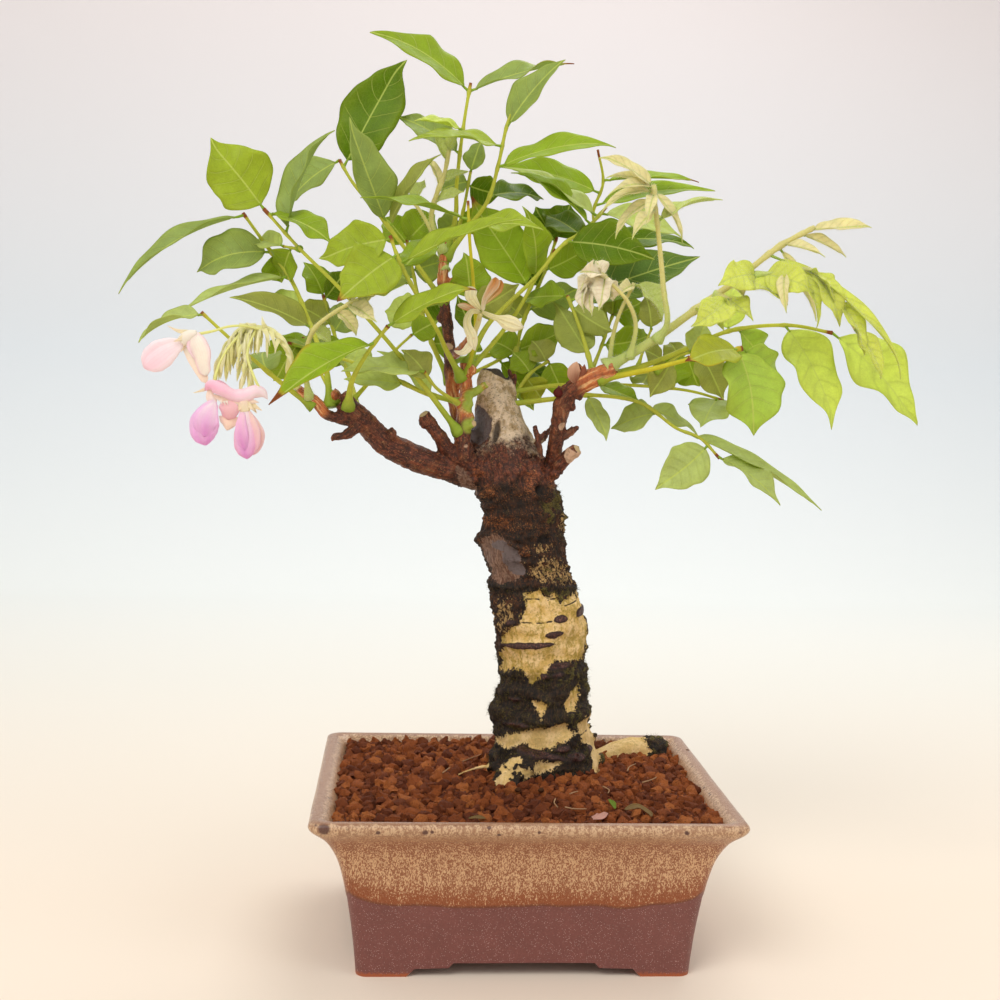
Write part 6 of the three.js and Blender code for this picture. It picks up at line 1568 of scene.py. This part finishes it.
for k, (x, z) in enumerate(((-129.8, 236.4), (-128.4, 236), (-127.4, 236.2))):
    sepal(lower, [(x, -41.2, z), (x + 0.3, -41.4, z - 0.9), (x + 0.7, -41.5, z - 1.7)], 1, (CREAM,) * 3)
for x, y, z, dx, dy, dz in ((-121.5, -39.5, 235.2, -1, -1.6, -3.2), (-119.1, -40, 235.2, 3.2, -1.5, -3),
                            (-117.5, -39.5, 235, 4.4, 0.5, -2.6), (-118, -38.6, 234.8, 2.6, 1.4, -3.6)):
    sepal(lower, [(x, y, z), (x + dx * 0.5, y + dy * 0.7, z + dz * 0.5), (x + dx, y + dy, z + dz)], 2.6)
petal(lower, [(-121, -39.6, 236.4), (-120.2, -40, 233.6), (-119.8, -40, 231.4)], (4.6, 4.4, 4),
      (PEACH, SEPAL, SEPAL), puff=0.5, seed=12)
flower_part("lower_flower_standards", "flower_lower_banner", lower)

left_keel = Skin()
petal(left_keel, [(-132.2, -40, 236), (-134.4, -40.5, 232.2), (-136.2, -40.6, 227.4), (-136.6, -40.6, 222.6),
                  (-135.8, -40.2, 217.6)], (3, 8.4, 12.4, 11.2, 5), (PINK_PALE, ORCHID, LAVENDER),
      puff=0.42, crease=(0.5, 0.06), seed=14)
petal(left_keel, [(-132.2, -41, 235.6), (-134.2, -43.2, 231.6), (-135.9, -44, 226.8), (-136, -42.8, 221.2)],
      (2, 7.4, 11.2, 9.4, 4.4), (PINK_PALE, ORCHID, LAVENDER), cup=-0.3, seed=15)
flower_part("left_lower_keel", "flower_lower_keel_left", left_keel)

right_keel = Skin()
petal(right_keel, [(-119.8, -40, 233), (-120, -40.4, 228.8), (-119.9, -40.6, 224.3), (-119.6, -40.6, 218.6),
                   (-118.8, -40.2, 212.4)], (3.2, 6.6, 9, 9.4, 4.8), (PINK_PALE, ORCHID, PINK_DEEP),
      puff=0.42, crease=(-0.2, 0.1), seed=16)
petal(right_keel, [(-119, -40, 232.4), (-117.2, -40.6, 228), (-115.9, -40.6, 223.5), (-115.9, -40.4, 218.6),
                   (-117.4, -40.2, 214)], (2, 4, 5, 4.6, 2.4), (PEACH, PINK_DEEP, PINK), puff=0.4, seed=18)
petal(right_keel, [(-118.6, -38.8, 231.4), (-115.8, -38, 226.6), (-114, -38, 222.2), (-114.6, -38, 217.7),
                   (-116.4, -39, 214)], (2, 3.6, 4.4, 3.4, 1.6), (PEACH, DUSTY_ROSE, PINK), puff=0.35,
      seed=19)
petal(right_keel, [(-120.6, -41.4, 231.6), (-121.2, -43.2, 227), (-120.8, -43.8, 221.6),
                   (-119.6, -42.4, 216)], (1.8, 4.6, 5.4, 2.4), (PINK, ORCHID, LAVENDER), cup=-0.4, seed=20)
flower_part("right_lower_keel", "flower_lower_keel_right", right_keel)

# Raceme: the arched axis of the flower cluster, with the stalks of the open flowers and some 60 slender
# silky buds that hang in bunches from it, each over a narrow pointed bract. All is pale yellow-green.
RACEME_AXIS = [
    (-101, -8, 242), (-104, -19, 249), (-103, -27, 256), (-106, -28, 261), (-111, -27, 266),
    (-118, -27, 267), (-124, -27, 266), (-129, -27, 259), (-131, -27, 253),
]
FLOWER_STALKS = [
    [(-114, -28, 266), (-121.7, -31, 267.3), (-128, -34, 266.7), (-134, -36, 264.6), (-140, -37, 263.2)],
    [(-122, -28, 266), (-129, -35, 256), (-132, -38, 248), (-133, -39, 242)],
    [(-117, -27, 267), (-120, -34, 256), (-117, -38, 247), (-114, -39, 241)],
]
BUD_GREEN, BUD_TIP, STALK_CREAM = paint(244, 242, 180), paint(253, 250, 214), paint(242, 242, 164)
BUDS_HANGING = 66
INNER_AXIS = [(-121, -27, 266.5), (-122, -28, 261), (-121, -28, 255), (-119.6, -28, 248)]
raceme = Skin()
stem(raceme, RACEME_AXIS, (1.5, 1.5, 1.4, 1.3, 1, 0.8, 0.6), 10, 1, BUD_GREEN, 1.0)
for route in FLOWER_STALKS:
    stem(raceme, route, (0.7, 0.5, 0.5, 0.6), 8, 1, STALK_CREAM, 0.3)
random = np.random.default_rng(31)
stem(raceme, INNER_AXIS, (0.6, 0.5, 0.4), 8, 1, BUD_GREEN, 0.5)
outer = points_along(RACEME_AXIS, 0.62 + 0.38 * np.linspace(0, 1, BUDS_HANGING * 2 // 3))
bud_places = np.vstack([outer, points_along(INNER_AXIS, np.linspace(0.1, 1, BUDS_HANGING // 3))])
for k, start in enumerate(bud_places):
    turn = 2.4 * k
    fall = random.uniform(8, 13)
    spread_x, spread_y = 3 * math.cos(turn), 3.4 * math.sin(turn)
    bend = start + (0.7 * spread_x - 0.8, spread_y, -0.3 * fall)
    tip = start + (spread_x - 1.2, 1.25 * spread_y, -fall)
    swell = random.uniform(0.9, 1.2)
    stem(raceme, [start, bend, tip], (0.3, 0.35, 0.5 * swell, 0.75 * swell, 0.55 * swell, 0.1), 6, 0.8,
         BUD_GREEN if k % 2 else BUD_TIP, 0.6)
    sepal(raceme, [start, start + (0.4 * spread_x, spread_y * 0.8, -1.2),
                   start + (0.8 * spread_x, spread_y * 1.2, -4.5)], 1.5, (BUD_GREEN, BUD_TIP, BUD_TIP))
for x, y, z, dx, dz in ((-106, -29, 261, 3.5, -5), (-109, -29, 264.6, 6, -6), (-113, -29, 266.6, -1.5, 5),
                        (-104, -28, 257, 2, -6), (-107, -29, 263, -2, -7), (-111, -29, 266, 2, -8),
                        (-114, -29, 267, 3, -8), (-117, -29, 267.4, -4, 1.4), (-120, -29, 267.4, -4, 1)):
    sepal(raceme, [(x, y, z), (x + 0.6 * dx, y - 1.5, z + 0.4 * dz), (x + dx, y - 1, z + dz)], 2.4,
          (BUD_GREEN, BUD_TIP, BUD_TIP))
bunch = flower_part("raceme_buds", "flower_raceme", raceme)
silky("raceme_hairs", bunch, 41, per_cm2=190, small=0.25, large=0.5)

# Withered blossoms: a raceme that has gone over, in the middle of the crown. Five dried flowers, creased
# lengthwise, cream with rusty tips, on a short red-brown stub that was cut.
DRY_CREAM, DRY_PALE, DRY_RUST = paint(252, 244, 212), paint(242, 234, 176), paint(222, 148, 66)
dried = Skin()
stem(dried, [(-26.5, -10, 265.5), (-24, -18, 270.5), (-23, -23, 275.5)], (1.5, 1.2, 1.1), 8, 0.8,
     DRY_PALE, 0.4)
for route, widths, colours, puff, wave in (
        ([(-22.4, -23, 276.4), (-18.8, -25, 274.7), (-14.7, -27, 273.2), (-9.8, -28, 271.4),
          (-4.5, -28, 269.9)], (1.4, 2.2, 2.6, 6.6, 6.4, 1.2), (DRY_PALE, DRY_CREAM, DRY_CREAM), 0.3, 0.05),
        ([(-22, -23, 276.6), (-21.5, -24, 281.4), (-19.4, -25, 285.2), (-17.2, -25, 288.6),
          (-16.9, -24, 291)], (1.6, 2, 3, 4.6, 3.6), (DRY_CREAM, DRY_RUST, DRY_CREAM), 0.25, 0.15),
        ([(-21.8, -23, 279.4), (-18.2, -24, 283.6), (-15.8, -23.6, 286.4), (-14.4, -22.6, 290)],
         (1.2, 3, 4.4, 3), (DRY_PALE, DRY_RUST, DRY_RUST), 0.1, 0.2),
        ([(-22.9, -23, 277.2), (-25.7, -24, 280.2), (-27.4, -24.4, 283.1), (-26.4, -24, 286.8)],
         (1.6, 3.6, 5.2, 4.6), (DRY_PALE, DRY_CREAM, DRY_CREAM), 0.25, 0.1),
        ([(-23.6, -23, 276.8), (-27.1, -24, 277.5), (-30.2, -24, 278.5), (-33, -24, 279)],
         (1.6, 2.8, 3.2, 1.4), (DRY_RUST, DRY_CREAM, DRY_RUST), 0.2, 0.15),
        ([(-23, -23, 276.2), (-26.8, -26, 276.2), (-28.6, -27, 273.2), (-28.4, -27, 269.8), (-26.6, -27, 266),
          (-26, -27, 262.7), (-25, -27, 259.7)], (1.6, 2.2, 3, 3.6, 4.6, 4.6, 1.6),
         (DRY_PALE, DRY_CREAM, DRY_CREAM), 0.28, 0.08),
        ([(-26.4, -27, 263.4), (-29.1, -27.4, 259.6), (-31.4, -27.4, 258.6), (-34, -27, 259.5)],
         (3, 3.6, 2.4, 0.8), (DRY_CREAM, DRY_CREAM, DRY_CREAM), 0.0, 0.2)):
    petal(dried, route, widths, colours, puff=puff, wave=wave, crease=(0.1, 0.2),
          seed=len(route) + len(dried.faces))
dry_soft, dye, join = finish("dry_petal", specular_ior_level=0.2)
tint = dye.mark("tint", out=0)
wrinkle = dye.sum("SINE", dye.mark("across") * 10 + 6 * dye.cloud(3)).step(-0.4, 1.0)
# Painted light and shade: the petals are lighter on the ridges of the wrinkles and darker in their troughs,
# by the same pattern as the bump.
papery = (wrinkle * 0.5 + 0.5 * dye.cloud(1.2)).shade(tint, 0.88, 1.12)
papery = (dye.cloud(3, 3, 0.6).step(0.6, 0.75) * 0.5).mix(papery, DRY_RUST)
join("Base Color", papery)
join("Roughness", 0.7 + 0.2 * wrinkle)
join("Normal", dye.relief(wrinkle, 0.2))
let_light_through(dry_soft, papery, 0.4)
flower_part("withered_blossoms", "withered_flowers", dried, material=dry_soft)

# Moss and fibres: dark moss and torn bark fibres that stand out from the black bands of the trunk, up to
# 5 mm long, in tufts. They are real spikes, set by the rule of the silky hairs on the mossy faces alone.
TUFTS_PER_CM2 = 150
TUFT_BROWN, TUFT_OLIVE = paint(46, 34, 22), paint(132, 116, 58)
moss_tuft, dye, join = finish("moss", specular_ior_level=0.2)
join("Base Color", dye.cloud(2.5, 3, 0.6).torn(0.8, dye.cloud(0.5), 0.4, 0.62).mix(TUFT_BROWN, TUFT_OLIVE))
join("Roughness", 0.8 + 0.15 * dye.cloud(1))
mossy_part = bmesh.new()
mossy_part.from_mesh(wood_mesh)
tufted = (np.maximum(moss, 0.75 * black) > 0.42) & (noise_at(p, 5, 14) > -0.12) & (p[:, 2] > 71)
bare_faces = [f for f in mossy_part.faces if not all(tufted[v.index] for v in f.verts)]
bmesh.ops.delete(mossy_part, geom=bare_faces, context="FACES")
moss_ground = bpy.data.meshes.new("moss_ground")
mossy_part.to_mesh(moss_ground)
mossy_part.free()
tufts = worked("moss", moss_ground, hair_tree, moss_tuft, Pieces=hair_store, Lean=1.25, Seed=51, Small=0.6,
               Large=1.9, **{"Per Area": TUFTS_PER_CM2 * 1e4})
moss_piece = settle("moss_and_fibres", tufts, moss_tuft)
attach(moss_piece, "root")

# Bud scales: the large brown bud that stands on the right branch, a broad stiff scale and a narrow one that
# have parted over a dark red core, and a small closed bud with shiny dark red skin below it.
SCALE_PALE, SCALE_BROWN, BUD_RED = paint(238, 196, 162), paint(160, 92, 62), paint(104, 34, 28)
SCALES = [
    ((21.2, -5.6, 247.2), (19.7, -8.4, 252.2), (20.7, -8.2, 256.6), (3.2, 6.2, 5.8, 1.6), SCALE_PALE),
    ((22.2, -5.4, 247.4), (23.9, -7.6, 252), (24.1, -7.6, 255.6), (2, 3.6, 2.8, 0.6), SCALE_BROWN),
    ((21.8, -5, 247.4), (21.9, -6.6, 252), (21.9, -6.6, 256), (2.4, 3.4, 2.4, 0.6), BUD_RED),
]
scales = Skin()
for foot, middle_place, top_place, widths, tint_of in SCALES:
    petal(scales, [foot, middle_place, top_place], widths, (SCALE_BROWN, tint_of, tint_of), cup=-0.45,
          wave=0.04, seed=61)
stem(scales, [(13.4, -1.6, 241.2), (13.4, -2.2, 243.2), (13.6, -2.2, 245.2)], (1.5, 2.3, 1.8, 0.3), 12, 0.5,
     BUD_RED)
scale_piece = scales.piece("bud_scales", petal_soft)
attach(scale_piece, "root")

# Litter on the soil: thin white root threads, a dry leaf bit, a fallen petal, seeds and a green leaf bit, as
# they lie loose on the granules. Each is pressed into the crumbs it lies on.
LITTER_THREADS = [
    [(51, 4), (53, 11), (57, 18)], [(55, -14), (60, -9), (64, -2)], [(20, -35), (22, -33), (24, -31)],
    [(36, -23), (38, -28), (37, -32)], [(13, -42), (12, -47), (13, -52)], [(16, -52), (20, -54), (25, -53)],
    [(-34, -4), (-30, 5), (-25, 14), (-15, 27)],
]
LITTER_FLAT = [
    ([(41, -54), (47, -50), (51, -56), (51, -62)], (1.4, 3.4, 2.4, 1), "dry"),
    ([(25, -66), (29, -64), (33, -58)], (1.6, 4.4, 1.4), "petal"),
    ([(36, -42), (37, -48), (37, -53)], (1, 2.6, 1), "green"),
    ([(-25, -66), (-21, -65.4), (-18, -66)], (1, 2.4, 1), "dry"),
]
LITTER_SEEDS = [(8, -30), (-2, -30), (87, 46)]
LITTER_TINTS = {"dry": paint(150, 122, 78), "petal": paint(226, 176, 160), "green": paint(128, 156, 52)}
THREAD_WHITE, SEED_BROWN = paint(196, 158, 120), paint(92, 56, 32)
litter = Skin()


def lying(places, lift):
    """Points that lie on top of the granules, that far above the soil."""
    return [(x, y, float(soil_height(x, y)) + lift + 0.5 * math.sin(3 * k))
            for k, (x, y) in enumerate(places)]


for line in LITTER_THREADS:
    stem(litter, lying(line, 2), (0.34, 0.3, 0.26, 0.2), 6, 1, THREAD_WHITE)
for k, (line, widths, kind) in enumerate(LITTER_FLAT):
    petal(litter, lying(line, 2.4), widths, (LITTER_TINTS[kind],) * 3, facing=(0, -0.3, 1), cup=0.3,
          wave=0.15, seed=k)
for x, y in LITTER_SEEDS:
    height = float(soil_height(x, y)) + 1.6
    stem(litter, [(x - 1.4, y, height), (x, y, height + 0.2), (x + 1.4, y, height)], (0.3, 1.1, 1.1, 0.3),
         8, 0.5, SEED_BROWN)
litter_piece = litter.piece("litter_on_soil", dry_soft)
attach(litter_piece, "root")
bpy.data.collections.remove(hair_store)

# Studio: a plain pale floor that turns up into a pale backdrop, a broad soft light from the upper left and
# front, and the camera a little above the pot's rim, slightly left of the middle.
studio, dye, join = finish("studio_card", roughness=0.9, specular_ior_level=0.1)
CARD_WARM, CARD_PALE, CARD_WHITE = paint(236, 222, 205), paint(234, 231, 222), paint(239, 242, 239)
CARD_COOL, CARD_ROSY = paint(225, 230, 235), paint(233, 226, 227)
CARD_RUN = 2.6
place = dye.node("TexCoord", out="Object")
rise, depth = (dye.node("SeparateXYZ", {0: place}, out=k) for k in (2, 1))
# Painted light: the tints that run over the card are the fall and colour of the studio light, painted onto
# one plain card. They go warm at the front of the floor, then white, then cool and rosy up the backdrop.
card = dye.node("ValToRGB", {0: (depth + 1.5 * rise + 0.1) * (1 / CARD_RUN)}, stops=[
    (0.05, CARD_WARM), (0.25, CARD_PALE), (0.44, CARD_WHITE), (0.72, CARD_COOL), (1.0, CARD_ROSY)])
join("Base Color", card)
CARD_NEAR, CARD_FAR, CARD_TOP, CARD_BEND, CARD_HALF = -1.4, 1.0, 1.9, 0.35, 2.2
bend = np.linspace(0, math.pi / 2, 16)
card_line = [(CARD_FAR + CARD_BEND * math.sin(t), CARD_BEND * (1 - math.cos(t))) for t in bend]
card_line = [(CARD_NEAR, 0), *card_line, (CARD_FAR + CARD_BEND, CARD_TOP)]
card_points = [(x, y, z) for y, z in card_line for x in (-CARD_HALF, CARD_HALF)]
card_mesh = bpy.data.meshes.new("backdrop")
card_mesh.from_pydata(card_points, [], wall_faces(len(card_line), 2, closed=False))
settle("backdrop", card_mesh, studio)

world = bpy.data.worlds.new("soft room")
world.use_nodes = True
world.node_tree.nodes["Background"].inputs[0].default_value = (1.0, 0.99, 0.97, 1)
world.node_tree.nodes["Background"].inputs[1].default_value = 0.62
bpy.context.scene.world = world


def soft_light(name, place, aim, size, power, colour=(1, 1, 1)):
    light = bpy.data.lights.new(name, "AREA")
    light.shape = "DISK"
    light.size = size
    light.energy = power
    light.color = colour
    made = put_in(name, light)
    made.location = place
    made.rotation_euler = (Vector(aim) - Vector(place)).to_track_quat("-Z", "Y").to_euler()


soft_light("key", (-0.7, -1.1, 1.5), (0, 0, 0.2), 1.1, 16, (1, 0.985, 0.96))
soft_light("fill", (1.3, -0.9, 0.9), (0, 0, 0.2), 1.2, 5)
soft_light("back", (0.3, 0.75, 1.4), (0, 0, 0.3), 0.9, 8)

CAMERA_PLACE = (-54, -643.2, 244.4)
CAMERA_PITCH, CAMERA_YAW, CAMERA_ROLL = (math.radians(a) for a in (4.44, -3.82, 1.46))
CAMERA_LENS, CAMERA_SENSOR = 52.1, 36
camera = put_in("camera", bpy.data.cameras.new("camera"))
camera.data.lens = CAMERA_LENS
camera.data.sensor_width = CAMERA_SENSOR
camera.data.clip_end = 20
camera.matrix_world = (Matrix.Translation(Vector(CAMERA_PLACE) * MM + POT_MIDDLE)
                       @ Matrix.Rotation(CAMERA_YAW, 4, "Z")
                       @ Matrix.Rotation(math.pi / 2 - CAMERA_PITCH, 4, "X")
                       @ Matrix.Rotation(CAMERA_ROLL, 4, "Z"))
bpy.context.scene.camera = camera
bpy.context.scene.view_settings.view_transform = "Standard"
